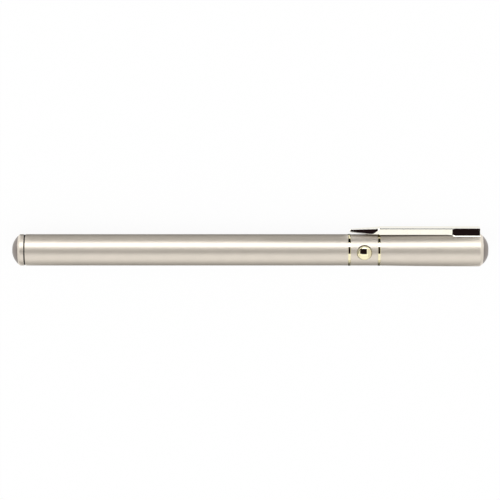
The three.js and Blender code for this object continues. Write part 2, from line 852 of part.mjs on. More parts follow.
addPiece("tail_plug", tailPlug(), finishes.darkNickel);
addPiece("tail_cap_ring", tailCapRing(), finishes.satinNickel);
addPiece("tail_seal_ring", sealRing(), finishes.rubber);
addPiece("tail_spring", tailSpring(), finishes.springSteel);
addPiece("barrel_tube", barrelTube(), finishes.satinNickel);
addPiece("rear_cell", cell(rearCellStart), finishes.cellJacket);
addPiece("front_cell", cell(frontCellStart), finishes.cellJacket);
addPiece("rear_gold_ring", goldRing(barrelEnd), finishes.gold);
addPiece("switch_collar", switchCollar(), finishes.satinNickel);
addPiece("front_gold_ring", goldRing(collarEnd), finishes.gold);
addPiece("inner_sleeve", innerSleeve(), finishes.brass);
addPiece("cap_tube", capTube(), finishes.satinNickel);
addPiece("nose_dome", noseDome(), finishes.darkNickel);
addPiece("clip_root", clipRoot(), finishes.gold);
addPiece("clip_arm", clipArm(), finishes.gold);
addPiece("button_cap", buttonCap(), finishes.gold);
addPiece("switch_base", switchBase(), finishes.blackPlastic);
addPiece("switch_cover", switchCover(), finishes.tin);
addPiece("switch_plunger", switchPlunger(), finishes.blackPlastic);
addPiece("switch_snap_dome", snapDome(), finishes.springSteel);
for (const [index, [lengthwise, crosswise]] of [[-1, -1], [1, -1], [-1, 1], [1, 1]].entries()) {
  addPiece(`switch_terminal_${index + 1}`, switchTerminal(lengthwise, crosswise), finishes.tin);
}
addPiece("circuit_board", circuitBoard(), finishes.boardGreen);
addPiece("board_cradle", boardCradle(), finishes.blackPlastic);
addPiece("front_contact", frontContact(), finishes.brass);
addPiece("front_contact_spring", frontSpring(), finishes.springSteel);
addPiece("driver_transistor", transistor(), finishes.chipBlack);
addPiece("current_resistor", onBoard(resistorX, 0, resistorSize), finishes.chipBlack);
addPiece("smoothing_capacitor", onBoard(capacitorX, 0, capacitorSize), finishes.ceramic);
addPiece("power_trimmer", trimmer(), finishes.trimmerBlue);
addPiece("module_housing", moduleHousing(), finishes.brass);
addPiece("laser_diode", laserDiode(), finishes.tin);
addPiece("lens_spring", lensSpring(), finishes.springSteel);
addPiece("lens_holder", lensHolder(), finishes.brass);
addPiece("collimating_lens", collimatingLens(), finishes.glass);

// The pen lies on the underside of its cap and on the lower outer edge of the clip. It is rolled until
// both are at one level, and then set down with the middle of its footprint at the origin.
const clipEdgeReach = Math.hypot(clipTop, clipHalfWidth);
const restRoll = Math.asin(noseRadius / clipEdgeReach) - Math.atan(clipHalfWidth / clipTop);
pen.rotation.x = -restRoll;
const laidDown = new THREE.Box3().setFromObject(pen, true);
const middle = laidDown.getCenter(new THREE.Vector3());
pen.position.set(-middle.x, -middle.y, -laidDown.min.z);

export default pen;
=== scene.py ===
"""Laser pointer the size of a slim pen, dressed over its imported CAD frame.

The pen lies on a pale table: satin nickel tubes, two gold rings with the push button between them, a
gold pocket clip and darker domed ends. Sizes are in millimetres along the pen's own axes, with the tail
face at 0, the beam towards +x, the clip towards +y and the button towards +z. PenAxes carries them into
the frame, and every length that the frame can give is read from it.
"""

from __future__ import annotations

import json
import logging
import math
from dataclasses import dataclass
from enum import Enum

import bmesh
import bpy
import numpy as np
from mathutils import Matrix, Vector

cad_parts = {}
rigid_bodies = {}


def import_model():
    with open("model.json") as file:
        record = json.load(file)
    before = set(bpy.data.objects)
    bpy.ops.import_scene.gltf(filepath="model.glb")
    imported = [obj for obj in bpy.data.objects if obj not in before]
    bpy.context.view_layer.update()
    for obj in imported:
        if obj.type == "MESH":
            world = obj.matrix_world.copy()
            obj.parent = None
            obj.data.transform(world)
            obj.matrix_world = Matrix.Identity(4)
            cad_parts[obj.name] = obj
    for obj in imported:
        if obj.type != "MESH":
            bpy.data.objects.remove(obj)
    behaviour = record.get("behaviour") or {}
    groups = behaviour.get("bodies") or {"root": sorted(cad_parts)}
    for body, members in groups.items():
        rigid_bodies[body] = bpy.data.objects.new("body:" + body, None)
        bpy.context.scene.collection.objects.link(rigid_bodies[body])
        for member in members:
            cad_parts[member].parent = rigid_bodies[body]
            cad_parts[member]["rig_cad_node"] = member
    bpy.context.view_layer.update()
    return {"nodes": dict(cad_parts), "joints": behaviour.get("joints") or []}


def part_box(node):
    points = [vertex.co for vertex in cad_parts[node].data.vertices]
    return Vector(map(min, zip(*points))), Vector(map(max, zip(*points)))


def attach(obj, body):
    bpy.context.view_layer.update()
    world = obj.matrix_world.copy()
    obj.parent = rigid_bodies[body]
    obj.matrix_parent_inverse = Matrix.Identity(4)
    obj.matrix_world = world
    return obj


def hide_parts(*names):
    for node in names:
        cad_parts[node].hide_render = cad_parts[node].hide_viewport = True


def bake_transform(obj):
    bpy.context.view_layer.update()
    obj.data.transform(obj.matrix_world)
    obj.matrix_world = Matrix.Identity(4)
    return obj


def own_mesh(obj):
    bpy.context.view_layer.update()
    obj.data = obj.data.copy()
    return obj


log = logging.getLogger("laser_pointer")

MM = 0.001
Colour = tuple[float, float, float]
Socket = bpy.types.NodeSocket


@dataclass(frozen=True)
class PenAxes:
    """The pen's own axes in the row frame.

    origin is the middle of the tail face in metres; along, clipward and buttonward are unit vectors.
    """

    origin: np.ndarray
    along: np.ndarray
    clipward: np.ndarray
    buttonward: np.ndarray

    @classmethod
    def from_frame(cls, joints: list[dict]) -> PenAxes:
        """Reads the axes from the barrel's box and the button's joint.

        Args:
            joints: The record's joints.

        Returns:
            The axes. The clip's side is the button's direction turned a quarter about the pen.
        """
        low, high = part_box("barrel_tube")
        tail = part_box("tail_plug")[0].x
        press = next(joint for joint in joints if joint["name"] == "button_press")
        buttonward = -np.array(press["axis"], dtype=float)
        along = np.array([1.0, 0.0, 0.0])
        middle = (np.array(low) + np.array(high)) / 2
        return cls(
            origin=np.array([tail, middle[1], middle[2]]),
            along=along,
            clipward=np.cross(buttonward, along),
            buttonward=buttonward,
        )

    @property
    def roll(self) -> float:
        """Angle about +X, in radians, from the frame's Y to the clip's direction."""
        return math.atan2(self.clipward[2], self.clipward[1])

    def place(self, points: np.ndarray) -> np.ndarray:
        """Carries points of [along, clipward, buttonward] in millimetres to the row frame in metres."""
        turned_to_frame = np.stack([self.along, self.clipward, self.buttonward])
        return self.origin + MM * points @ turned_to_frame

    def span(self, node: str) -> tuple[float, float]:
        """Start and end of a CAD node along the pen, in millimetres."""
        low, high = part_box(node)
        return (low.x - self.origin[0]) / MM, (high.x - self.origin[0]) / MM

    @staticmethod
    def radius(node: str) -> float:
        """Radius of a round CAD node about the pen's axis, in millimetres."""
        low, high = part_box(node)
        return round((high.z - low.z) / 2 / MM, 2)


class Outline:
    """The outline of a turned piece, gathered point by point as [along, radius]."""

    def __init__(self) -> None:
        """Starts an empty outline."""
        self.items: list[tuple[float, float, float]] = []

    def corner(self, along: float, radius: float, rounding: float = 0.0) -> Outline:
        """Adds a corner at [along, radius] with the radius of its rounding, 0 for a sharp one."""
        self.items.append((along, radius, rounding))
        return self

    def curve(self, points: np.ndarray) -> Outline:
        """Adds the points of a smooth curve as they are."""
        self.items.extend((float(along), float(radius), 0.0) for along, radius in points)
        return self

    def traced(self) -> tuple[np.ndarray, np.ndarray]:
        """Rounds the corners.

        Returns:
            The outline's points, and an array that is 1 on rounded corners and 0 elsewhere.
        """
        points, edge = [], []
        count = len(self.items)
        for index, (along, radius, rounding) in enumerate(self.items):
            corner = np.array([along, radius])
            if rounding <= 0:
                points.append(corner[None])
                edge.append(np.zeros(1))
                continue
            before = np.array(self.items[index - 1][:2])
            after = np.array(self.items[(index + 1) % count][:2])
            bent, on_edge = rounded(np.stack([before, corner, after])[None], np.array([0, rounding, 0]))
            third = bent.shape[1] // 3
            points.append(bent[0, third : 2 * third])
            edge.append(on_edge[third : 2 * third])
        return np.concatenate(points), np.concatenate(edge)


def rounded(corners: np.ndarray, radii: np.ndarray, steps: int = 6) -> tuple[np.ndarray, np.ndarray]:
    """Rounds the corners of a stack of closed outlines at once.

    A corner gives way to a quadratic curve between its two sides. The curve starts and ends at the
    radius times the tangent of half the turn from the corner, and at most 0.45 of the shorter side.
    One more point beyond each end keeps the shading of the sides flat.

    Args:
        corners: Array of outlines, corners and coordinates.
        radii: Radius of each corner, the same for all outlines or one row for each.
        steps: Steps in each curve.

    Returns:
        The outlines with steps + 3 points for each corner, and an array that is 1 on the curves.
    """
    # Shares of the shorter side that the curve and the point beyond it may take, and how far that lies
    curve_most, hold_most = 0.45, 0.49
    hold_share, hold_extra = 1.15, 0.03
    least_length, least_tangent = 1e-9, 1e-3
    to_before = np.roll(corners, 1, axis=-2) - corners
    to_after = np.roll(corners, -1, axis=-2) - corners
    before_length = np.linalg.norm(to_before, axis=-1)
    after_length = np.linalg.norm(to_after, axis=-1)
    before = to_before / np.maximum(before_length, least_length)[..., None]
    after = to_after / np.maximum(after_length, least_length)[..., None]
    between = np.arccos(np.clip((before * after).sum(-1), -1, 1))
    shortest = np.minimum(before_length, after_length)
    tangent = np.maximum(np.tan(between / 2), least_tangent)
    reach = np.minimum(radii / tangent, curve_most * shortest)
    hold = np.minimum(reach * hold_share + hold_extra, hold_most * shortest) * (reach > 0)
    share = np.linspace(0, 1, steps + 1)
    pull_before = np.concatenate([[0], (1 - share) ** 2, [0]])
    pull_after = np.concatenate([[0], share**2, [0]])
    hold_before = np.concatenate([[1], np.zeros(steps + 2)])
    hold_after = hold_before[::-1]
    along_before = reach[..., None] * pull_before + hold[..., None] * hold_before
    along_after = reach[..., None] * pull_after + hold[..., None] * hold_after
    points = (
        corners[..., None, :]
        + along_before[..., None] * before[..., None, :]
        + along_after[..., None] * after[..., None, :]
    )
    marked = np.tile(np.concatenate([[0], np.ones(steps + 1), [0]]), corners.shape[-2])
    return points.reshape(*corners.shape[:-2], -1, corners.shape[-1]), marked


def whole_turn(segments: int) -> np.ndarray:
    """Evenly spaced angles of a full turn, without the last, which is the first again."""
    return np.linspace(0, 2 * math.pi, segments, endpoint=False)


def around(along: np.ndarray, radius: np.ndarray, angle: np.ndarray) -> np.ndarray:
    """Points about the pen's axis, at [along, radius times cosine, radius times sine] of the angle."""
    parts = np.broadcast_arrays(along, radius * np.cos(angle), radius * np.sin(angle))
    return np.stack(parts, axis=-1)


def turned(outline: np.ndarray, segments: int) -> np.ndarray:
    """Turns an outline of [along, radius] about the pen's axis, into a grid of its points by angles."""
    return around(outline[:, :1], outline[:, 1:], whole_turn(segments))


class Skin:
    """A piece's surface, gathered as grids of points on the pen's axes."""

    merge_distance = 1e-7
    dissolve_distance = 1e-8
    sharp_angle = math.radians(38)

    def __init__(self, axes: PenAxes) -> None:
        """Starts an empty skin.

        Args:
            axes: The pen's axes.
        """
        self.axes = axes
        self.points: list[np.ndarray] = []
        self.edge: list[np.ndarray] = []
        self.quads: list[np.ndarray] = []
        self.count = 0

    def grid(
        self,
        points: np.ndarray,
        edge: np.ndarray | float = 0.0,
        loop_rows: bool = False,
        loop_columns: bool = False,
    ) -> Skin:
        """Adds a grid of points as four-sided faces.

        Args:
            points: Rows by columns of points in millimetres.
            edge: How much each point, or each row, lies on an edge of wear that gets a painted highlight,
                from 0 to 1.
            loop_rows: Whether the last row joins the first.
            loop_columns: Whether the last column joins the first.

        Returns:
            The skin itself.
        """
        rows, columns = points.shape[:2]
        index = np.arange(rows * columns).reshape(rows, columns) + self.count
        if loop_rows:
            index = np.concatenate([index, index[:1]])
        if loop_columns:
            index = np.concatenate([index, index[:, :1]], axis=1)
        corners = [index[:-1, :-1], index[1:, :-1], index[1:, 1:], index[:-1, 1:]]
        self.quads.append(np.stack(corners, axis=-1).reshape(-1, 4))
        self.points.append(points.reshape(-1, 3))
        marks = np.asarray(edge, dtype=float)
        marks = marks[:, None] if marks.ndim == 1 else marks
        self.edge.append(np.broadcast_to(marks, (rows, columns)).reshape(-1))
        self.count += rows * columns
        return self

    def lathe(self, outline: Outline, segments: int = 128, open_ended: bool = False) -> Skin:
        """Adds a turned outline, which closes on itself unless it starts on the axis.

        Args:
            outline: The outline.
            segments: Steps round the axis.
            open_ended: Whether its ends stay open, for other grids to join.

        Returns:
            The skin itself.
        """
        points, edge = outline.traced()
        closed = points[0, 1] > 0 and not open_ended
        return self.grid(turned(points, segments), edge, loop_rows=closed, loop_columns=True)

    def finished(self, name: str) -> bpy.types.Object:
        """Makes the mesh object: merges doubles, turns faces outwards and smooths all but sharp edges.

        Args:
            name: The piece's name.

        Returns:
            The object, linked to the scene at the origin.
        """
        mesh = bpy.data.meshes.new(name)
        places = self.axes.place(np.concatenate(self.points))
        mesh.from_pydata(places.tolist(), [], np.concatenate(self.quads).tolist())
        # Marks rounded edges: the metals make them smoother for wear and lighter as a painted highlight
        wear_and_highlight = mesh.attributes.new("edge_wear_and_highlight", "FLOAT", "POINT")
        wear_and_highlight.data.foreach_set("value", np.concatenate(self.edge).astype(np.float32))
        draft = bmesh.new()
        draft.from_mesh(mesh)
        bmesh.ops.remove_doubles(draft, verts=draft.verts, dist=self.merge_distance)
        bmesh.ops.dissolve_degenerate(draft, edges=draft.edges, dist=self.dissolve_distance)
        bmesh.ops.recalc_face_normals(draft, faces=draft.faces)
        draft.to_mesh(mesh)
        draft.free()
        mesh.shade_smooth()
        mesh.set_sharp_from_angle(angle=self.sharp_angle)
        piece = bpy.data.objects.new(name, mesh)
        bpy.context.scene.collection.objects.link(piece)
        return piece


class NodeBoard:
    """A material's node tree with short ways to add and join nodes."""

    # Noise keeps between these values
    noise_low = 0.3
    noise_high = 0.7

    def __init__(self, name: str) -> None:
        """Makes a material with an empty tree.

        Args:
            name: The material's name.
        """
        self.material = bpy.data.materials.new(name)
        self.material.use_nodes = True
        self.tree = self.material.node_tree
        self.tree.nodes.clear()

    def feed(self, socket: Socket, value: object) -> None:
        """Brings a value to an input.

        Args:
            socket: The input.
            value: An output to join it to, or a constant to set on it.
        """
        if isinstance(value, Socket):
            self.tree.links.new(value, socket)
        else:
            socket.default_value = value

    def add(self, kind: str, inputs: dict | None = None, **values: object) -> bpy.types.Node:
        """Adds a node.

        Args:
            kind: The node's type, without the words that all shader nodes share.
            inputs: Outputs to join and constants to set, by the input's name or number.
            **values: The node's properties by name.

        Returns:
            The node.
        """
        node = self.tree.nodes.new(f"ShaderNode{kind}")
        for key, value in values.items():
            setattr(node, key, value)
        for key, value in (inputs or {}).items():
            self.feed(node.inputs[key], value)
        return node

    def reckon(self, operation: str, *inputs: object, clamp: bool = False) -> Socket:
        """Reckons with numbers, each given as a constant or an output."""
        numbers = dict(enumerate(inputs))
        return self.add("Math", numbers, operation=operation, use_clamp=clamp).outputs[0]

    def show(self, shader: bpy.types.Node) -> None:
        """Makes a shader the surface's own."""
        self.add("OutputMaterial", {"Surface": shader.outputs[0]})

    def surface(self, colour: Colour, metallic: float, roughness: float, **more: float) -> bpy.types.Node:
        """Adds the surface shader and the output.

        Args:
            colour: Base colour.
            metallic: Share of metal.
            roughness: Roughness.
            **more: Further constants by the input's name, with a low line for each space.

        Returns:
            The shader, with all constants on its own sockets.
        """
        inputs = {"Base Color": (*colour, 1), "Metallic": metallic, "Roughness": roughness}
        inputs.update({name.replace("_", " "): value for name, value in more.items()})
        shader = self.add("BsdfPrincipled", inputs)
        self.show(shader)
        return shader

    def pen_place(self, axes: PenAxes) -> Socket:
        """Adds a place on the pen.

        Args:
            axes: The pen's axes.

        Returns:
            Object coordinates moved and turned to the pen's own axes, in metres.
        """
        place = self.add("TexCoord").outputs["Object"]
        inputs = {"Vector": place, "Location": tuple(axes.origin), "Rotation": (axes.roll, 0, 0)}
        return self.add("Mapping", inputs, vector_type="TEXTURE").outputs[0]

    def stretched(self, place: Socket, scale: Colour) -> Socket:
        """Scales a place along each axis, so that a pattern on it is drawn out."""
        return self.add("Mapping", {"Vector": place, "Scale": scale}).outputs[0]

    def round_place(self, place: Socket) -> Socket:
        """Winds a place round the pen, so that a pattern on it runs in rings.

        Args:
            place: A place on the pen.

        Returns:
            The place as [along, distance from the axis, 0].
        """
        parts = self.add("SeparateXYZ", {0: place}).outputs
        across = self.add("CombineXYZ", {"Y": parts["Y"], "Z": parts["Z"]}).outputs[0]
        distance = self.add("VectorMath", {0: across}, operation="LENGTH").outputs["Value"]
        return self.add("CombineXYZ", {"X": parts["X"], "Y": distance}).outputs[0]

    def noise(self, place: Socket, scale: float, detail: float = 2.0) -> Socket:
        """Soft noise of the given scale on a place."""
        return self.add("TexNoise", {"Vector": place, "Scale": scale, "Detail": detail}).outputs[0]

    def between(self, value: Socket, low: float, high: float) -> Socket:
        """Stretches noise over the values from low to high."""
        inputs = {"Value": value, "From Min": self.noise_low, "From Max": self.noise_high}
        return self.add("MapRange", {**inputs, "To Min": low, "To Max": high}).outputs[0]

    @staticmethod
    def opaque(colour: object) -> object:
        """A colour with full opacity, or an output as it is."""
        return colour if isinstance(colour, Socket) else (*colour, 1)

    def blend(self, share: Socket, first: object, second: object) -> Socket:
        """Mixes two colours, each given as a colour or an output, by the share of the second."""
        inputs = {"Factor": share, 6: self.opaque(first), 7: self.opaque(second)}
        return self.add("Mix", inputs, data_type="RGBA").outputs[2]

    def bump(self, height: Socket, distance: float, surface: bpy.types.Node) -> None:
        """Raises the surface by a height pattern, by a distance in metres."""
        inputs = {"Strength": 1.0, "Distance": distance, "Height": height}
        self.feed(surface.inputs["Normal"], self.add("Bump", inputs).outputs[0])


class Grain(Enum):
    """How the fine marks of a metal run."""

    LENGTHWISE = "lengthwise"
    TURNED = "turned"
    BUFFED = "buffed"


def scaled(colour: Colour, share: float) -> Colour:
    """A colour made darker or lighter by a share."""
    return tuple(min(channel * share, 1.0) for channel in colour)


@dataclass(frozen=True)
class Finish:
    """A finish with its slot in the record and its colour."""

    name: str
    slot: str
    colour: Colour

    def paint(self, board: NodeBoard, place: Socket) -> None:
        """Adds the finish's own nodes, from a place on the pen to the surface."""
        raise NotImplementedError

    def material(self, axes: PenAxes) -> bpy.types.Material:
        """Makes the material.

        Args:
            axes: The pen's axes.

        Returns:
            The material, painted.
        """
        board = NodeBoard(self.name)
        self.paint(board, board.pen_place(axes))
        return board.material


@dataclass(frozen=True)
class Metal(Finish):
    """A metal. Roughness wanders by spread, and edges of wear are smoother, and a little lighter as a
    painted highlight.
    """

    roughness: float
    spread: float
    grain: Grain
    depth: float
    mottle: float = 0.95
    metallic: float = 1.0

    # The grain's scale and how far lengthwise grain is drawn out, and the scales of buffing and clouds
    grain_scale = 9000
    drawn_out = (0.03, 1, 1)
    buffed_scale = 3000
    cloud_scale = 260

    # How much of the painted highlight on an edge of wear shows, and how much lighter it is
    highlight_share = 0.8
    edge_highlight = 1.3

    def grain_on(self, board: NodeBoard, place: Socket) -> Socket:
        """Adds the grain.

        Args:
            board: The material's board.
            place: A place on the pen.

        Returns:
            Noise drawn out along the pen, in rings about it, or fine and even.
        """
        if self.grain is Grain.LENGTHWISE:
            return board.noise(board.stretched(place, self.drawn_out), self.grain_scale)
        if self.grain is Grain.TURNED:
            return board.noise(board.round_place(place), self.grain_scale)
        return board.noise(place, self.buffed_scale, detail=4)

    def paint(self, board: NodeBoard, place: Socket) -> None:
        """Adds a metal with its grain, faint clouds, and edges of wear that are smoother and lighter by a
        painted highlight.

        Args:
            board: The material's board.
            place: A place on the pen.
        """
        surface = board.surface(self.colour, self.metallic, self.roughness)
        grain = self.grain_on(board, place)
        cloud = board.between(board.noise(place, self.cloud_scale, detail=3), 0, 1)
        mottled = board.blend(cloud, scaled(self.colour, self.mottle), self.colour)
        wear_and_highlight = board.add("Attribute", attribute_name="edge_wear_and_highlight").outputs["Fac"]
        # Painted highlight: edges of wear are made lighter in colour
        edge = board.reckon("MULTIPLY", wear_and_highlight, self.highlight_share)
        highlighted = board.blend(edge, mottled, scaled(self.colour, self.edge_highlight))
        board.feed(surface.inputs["Base Color"], highlighted)
        rough = board.between(grain, self.roughness - self.spread, self.roughness + self.spread)
        smoother = board.reckon("MULTIPLY_ADD", wear_and_highlight, -self.spread, rough)
        board.feed(surface.inputs["Roughness"], smoother)
        board.bump(grain, self.depth, surface)


@dataclass(frozen=True)
class Moulded(Finish):
    """A plastic, rubber or ceramic with a fine skin and slow changes of tone."""

    roughness: float
    skin_scale: float
    depth: float

    # Slow noise against the skin's, how dark it gets, and how far the roughness wanders
    slower = 12
    dark_share = 0.82
    spread = 0.08

    def paint(self, board: NodeBoard, place: Socket) -> None:
        """Adds a non-metal whose skin is fine noise and whose tone follows slow noise.

        Args:
            board: The material's board.
            place: A place on the pen.
        """
        surface = board.surface(self.colour, 0.0, self.roughness)
        skin = board.noise(place, self.skin_scale, detail=3)
        slow = board.noise(place, self.skin_scale / self.slower, detail=3)
        tone = board.between(slow, 0, 1)
        toned = board.blend(tone, scaled(self.colour, self.dark_share), self.colour)
        board.feed(surface.inputs["Base Color"], toned)
        rough = board.between(skin, self.roughness - self.spread, self.roughness + self.spread)
        board.feed(surface.inputs["Roughness"], rough)
        board.bump(skin, self.depth, surface)


@dataclass(frozen=True)
class Laminate(Finish):
    """Green solder mask over a woven glass board."""

    roughness: float = 0.35
    coat: float = 0.4
    weave: float = 650.0
    unevenness: float = 0.6
    dark_share: float = 0.75
    depth: float = 4e-6

    def paint(self, board: NodeBoard, place: Socket) -> None:
        """Adds a coated plastic whose tone and height follow two crossed sets of bands.

        Args:
            board: The material's board.
            place: A place on the pen.
        """
        surface = board.surface(self.colour, 0.0, self.roughness, Coat_Weight=self.coat)
        inputs = {"Vector": place, "Scale": self.weave, "Distortion": self.unevenness}
        bands = [
            board.add("TexWave", inputs, wave_type="BANDS", bands_direction=direction).outputs[1]
            for direction in ("X", "Y")
        ]
        cross = board.reckon("MULTIPLY", *bands)
        woven = board.blend(cross, scaled(self.colour, self.dark_share), self.colour)
        board.feed(surface.inputs["Base Color"], woven)
        board.bump(cross, self.depth, surface)


@dataclass(frozen=True)
class CoatedGlass(Finish):
    """Clear lens glass with a thin coating and a trace of dust."""

    facing: Colour = (0.72, 0.93, 1.0)
    slanting: Colour = (0.8, 0.62, 1.0)
    roughness: float = 0.03
    index: float = 1.6
    rim_blend: float = 0.4
    dust_scale: float = 1500
    dusty: tuple[float, float] = (0.01, 0.12)

    def paint(self, board: NodeBoard, place: Socket) -> None:
        """Adds clear glass whose tint turns from green-blue to violet away from the line of sight.

        Args:
            board: The material's board.
            place: A place on the pen.
        """
        clear = {"Transmission_Weight": 1.0, "IOR": self.index}
        surface = board.surface(self.colour, 0.0, self.roughness, **clear)
        rim = board.add("LayerWeight", {"Blend": self.rim_blend}).outputs["Facing"]
        board.feed(surface.inputs["Base Color"], board.blend(rim, self.facing, self.slanting))
        dust = board.noise(place, self.dust_scale, detail=4)
        board.feed(surface.inputs["Roughness"], board.between(dust, *self.dusty))


@dataclass(frozen=True)
class Jacket(Finish):
    """A cell's printed film: two plain zones along the cell under a glossy wrap with fine streaks."""

    band: Colour
    metallic: float = 0.25
    roughness: float = 0.3
    coat: float = 0.5
    zone_scale: float = 3.9
    zone_from: float = 0.72
    streak_scale: float = 900
    streak_light: float = 1.3
    streak_stretch: Colour = (8, 1, 1)
    depth: float = 3e-6

    def paint(self, board: NodeBoard, place: Socket) -> None:
        """Adds a coated film whose colour follows bands along the pen, with fine streaks round it.

        Args:
            board: The material's board.
            place: A place on the pen.
        """
        surface = board.surface(self.colour, self.metallic, self.roughness, Coat_Weight=self.coat)
        inputs = {"Vector": place, "Scale": self.zone_scale}
        bands = {"wave_type": "BANDS", "bands_direction": "X", "wave_profile": "SAW"}
        saw = board.add("TexWave", inputs, **bands).outputs[1]
        zone = board.reckon("GREATER_THAN", saw, self.zone_from)
        zoned = board.blend(zone, self.colour, self.band)
        fine = board.noise(board.stretched(place, self.streak_stretch), self.streak_scale)
        streak = board.between(fine, 0, 1)
        streaked = board.blend(streak, zoned, scaled(self.colour, self.streak_light))
        board.feed(surface.inputs["Base Color"], streaked)
        board.bump(streak, self.depth, surface)


class Finishes:
    """All finishes of the pen, each made into a material once."""

    satin_nickel = Metal(
        "satin_nickel", "satin_nickel", (0.78, 0.712, 0.62), 0.42, 0.03, Grain.LENGTHWISE, 5e-7, 0.97, 0.74
    )
    turned_nickel = Metal(
        "turned_nickel", "satin_nickel", (0.78, 0.712, 0.62), 0.42, 0.04, Grain.TURNED, 8e-7, 0.97, 0.74
    )
    dark_nickel = Metal(
        "dark_nickel", "dark_nickel", (0.30, 0.265, 0.245), 0.36, 0.05, Grain.TURNED, 1.4e-6, 0.93
    )
    gold = Metal("polished_gold", "gold", (0.97, 0.89, 0.60), 0.07, 0.03, Grain.BUFFED, 1.5e-7, 0.97)
    # The rings' gold made paler towards white: a painted highlight for the glare of the clip's bright
    # reflections
    clip_gold_painted_glare = Metal("clip_gold_painted_glare", "gold", (0.99, 0.955, 0.83), 0.06, 0.03, Grain.BUFFED, 1.5e-7, 0.97)
    brass = Metal("turned_brass", "bare_brass", (0.62, 0.42, 0.16), 0.34, 0.06, Grain.TURNED, 2e-6, 0.85)
    steel = Metal("spring_steel", "spring_steel", (0.52, 0.52, 0.53), 0.25, 0.05, Grain.BUFFED, 4e-7, 0.85)
    tin = Metal("tinned_steel", "tinned_steel", (0.62, 0.62, 0.60), 0.32, 0.06, Grain.BUFFED, 6e-7, 0.85)
    rubber = Moulded("seal_rubber", "seal_rubber", (0.014, 0.012, 0.01), 0.68, 4000, 3e-6)
    plastic = Moulded("black_plastic", "black_plastic", (0.025, 0.025, 0.028), 0.5, 5000, 3e-6)
    resin = Moulded("chip_resin", "chip_resin", (0.015, 0.015, 0.016), 0.45, 7000, 2e-6)
    ceramic = Moulded("ceramic", "ceramic", (0.36, 0.25, 0.14), 0.5, 6000, 2e-6)
    trimmer = Moulded("trimmer_plastic", "trimmer_plastic", (0.03, 0.1, 0.33), 0.42, 5000, 2e-6)
    laminate = Laminate("board_laminate", "board_laminate", (0.03, 0.14, 0.05))
    glass = CoatedGlass("lens_glass", "lens_glass", (0.9, 0.97, 1.0))
    jacket = Jacket("cell_jacket", "cell_jacket", (0.05, 0.07, 0.1), (0.55, 0.38, 0.12))

    def __init__(self, axes: PenAxes) -> None:
        """Keeps the pen's axes and starts with no materials made."""
        self.axes = axes
        self.made: dict[str, bpy.types.Material] = {}

    def dress(self, piece: bpy.types.Object, finish: Finish) -> None:
        """Gives a piece a finish.

        Args:
            piece: The piece or CAD node.
            finish: One of the finishes above.
        """
        if finish.name not in self.made:
            self.made[finish.name] = finish.material(self.axes)
        piece.data.materials.clear()
        piece.data.materials.append(self.made[finish.name])


@dataclass(frozen=True)
class DomedEnd:
    """A domed end of the pen: a ball face of a given rise, rounded into the side at the rim.

    Distances are measured along the axis from the shoulder, where the rounding starts.
    """

    side_radius: float
    rise: float
    rim_round: float = 0.8

    @property
    def ball_radius(self) -> float:
        """Radius of the ball whose cap has the given rise over the side's radius."""
        return (self.side_radius**2 + self.rise**2) / (2 * self.rise)

    def distance_at(self, radius: np.ndarray | float) -> np.ndarray | float:
        """Distance from the shoulder to the face: the ball's height at a radius less its offset.

        Args:
            radius: Distance from the pen's axis.

        Returns:
            The distance along the pen, in the same form.
        """
        reach = self.ball_radius - self.rim_round
        offset = math.sqrt(reach**2 - (self.side_radius - self.rim_round) ** 2)
        return np.sqrt(self.ball_radius**2 - np.square(radius)) - offset

    def rim(self, steps: int = 14) -> np.ndarray:
        """Arc of the rounding from the side to the face.

        Args:
            steps: Steps in the arc.

        Returns:
            Points of [distance, radius] at even angles, from the side's to the one of the ball's slope.
        """
        end = math.asin((self.side_radius - self.rim_round) / (self.ball_radius - self.rim_round))
        angle = np.linspace(math.pi / 2, end, steps + 1)
        across = self.side_radius - self.rim_round + self.rim_round * np.sin(angle)
        return np.stack([self.rim_round * np.cos(angle), across], axis=-1)

    def face(self, outer: float, inner: float, steps: int = 20) -> np.ndarray:
        """Arc on the ball between two radii.

        Args:
            outer: Radius at its start.
            inner: Radius at its end.
            steps: Steps in the arc.

        Returns:
            Points of [distance, radius] at even angles about the ball's middle.
        """
        ends = np.arcsin(np.array([outer, inner]) / self.ball_radius)
        angle = np.linspace(ends[0], ends[1], steps + 1)
        radius = self.ball_radius * np.sin(angle)
        return np.stack([self.distance_at(radius), radius], axis=-1)


def coil(
    start: float,
    end: float,
    radii: tuple[float, float],
    turns: float,
    wire_radius: float,
    steps_per_turn: int = 40,
    sides: int = 12,
) -> np.ndarray:
    """A round wire wound about the pen's axis.

    The wire's middle goes evenly along the axis and round it, at a distance that changes evenly
    between the two radii. A circle of the wire's radius stands square to it at each step, spanned by
    the outward direction and the direction square to that and to the wire.

    Args:
        start: Where the wire's middle starts along the pen.
        end: Where it ends.
        radii: Distance of the wire's middle from the axis at the start and at the end.
        turns: Number of turns.
        wire_radius: Radius of the wire.
        steps_per_turn: Steps in each turn.
        sides: Points round the wire.

    Returns:
        A grid of steps by points round the wire, whose ends are drawn in to a point.
    """
    share = np.linspace(0, 1, round(turns * steps_per_turn) + 1)
    share = np.concatenate([[0], share, [1]])
    width = np.ones_like(share)
    width[[0, -1]] = 0
    angle = 2 * math.pi * turns * share
    radius = radii[0] + (radii[1] - radii[0]) * share
    along = start + (end - start) * share
    outward = np.stack([np.zeros_like(angle), np.cos(angle), np.sin(angle)], axis=-1)
    round_it = np.stack([np.zeros_like(angle), -np.sin(angle), np.cos(angle)], axis=-1)
    forward = radius[:, None] * 2 * math.pi * turns * round_it + (end - start) * np.array([1.0, 0, 0])
    forward /= np.linalg.norm(forward, axis=-1, keepdims=True)
    square = np.cross(forward, outward)
    middle = radius[:, None] * outward
    middle[:, 0] = along
    side = whole_turn(sides)
    ring = np.cos(side)[None, :, None] * outward[:, None] + np.sin(side)[None, :, None] * square[:, None]
    return middle[:, None] + wire_radius * width[:, None, None] * ring


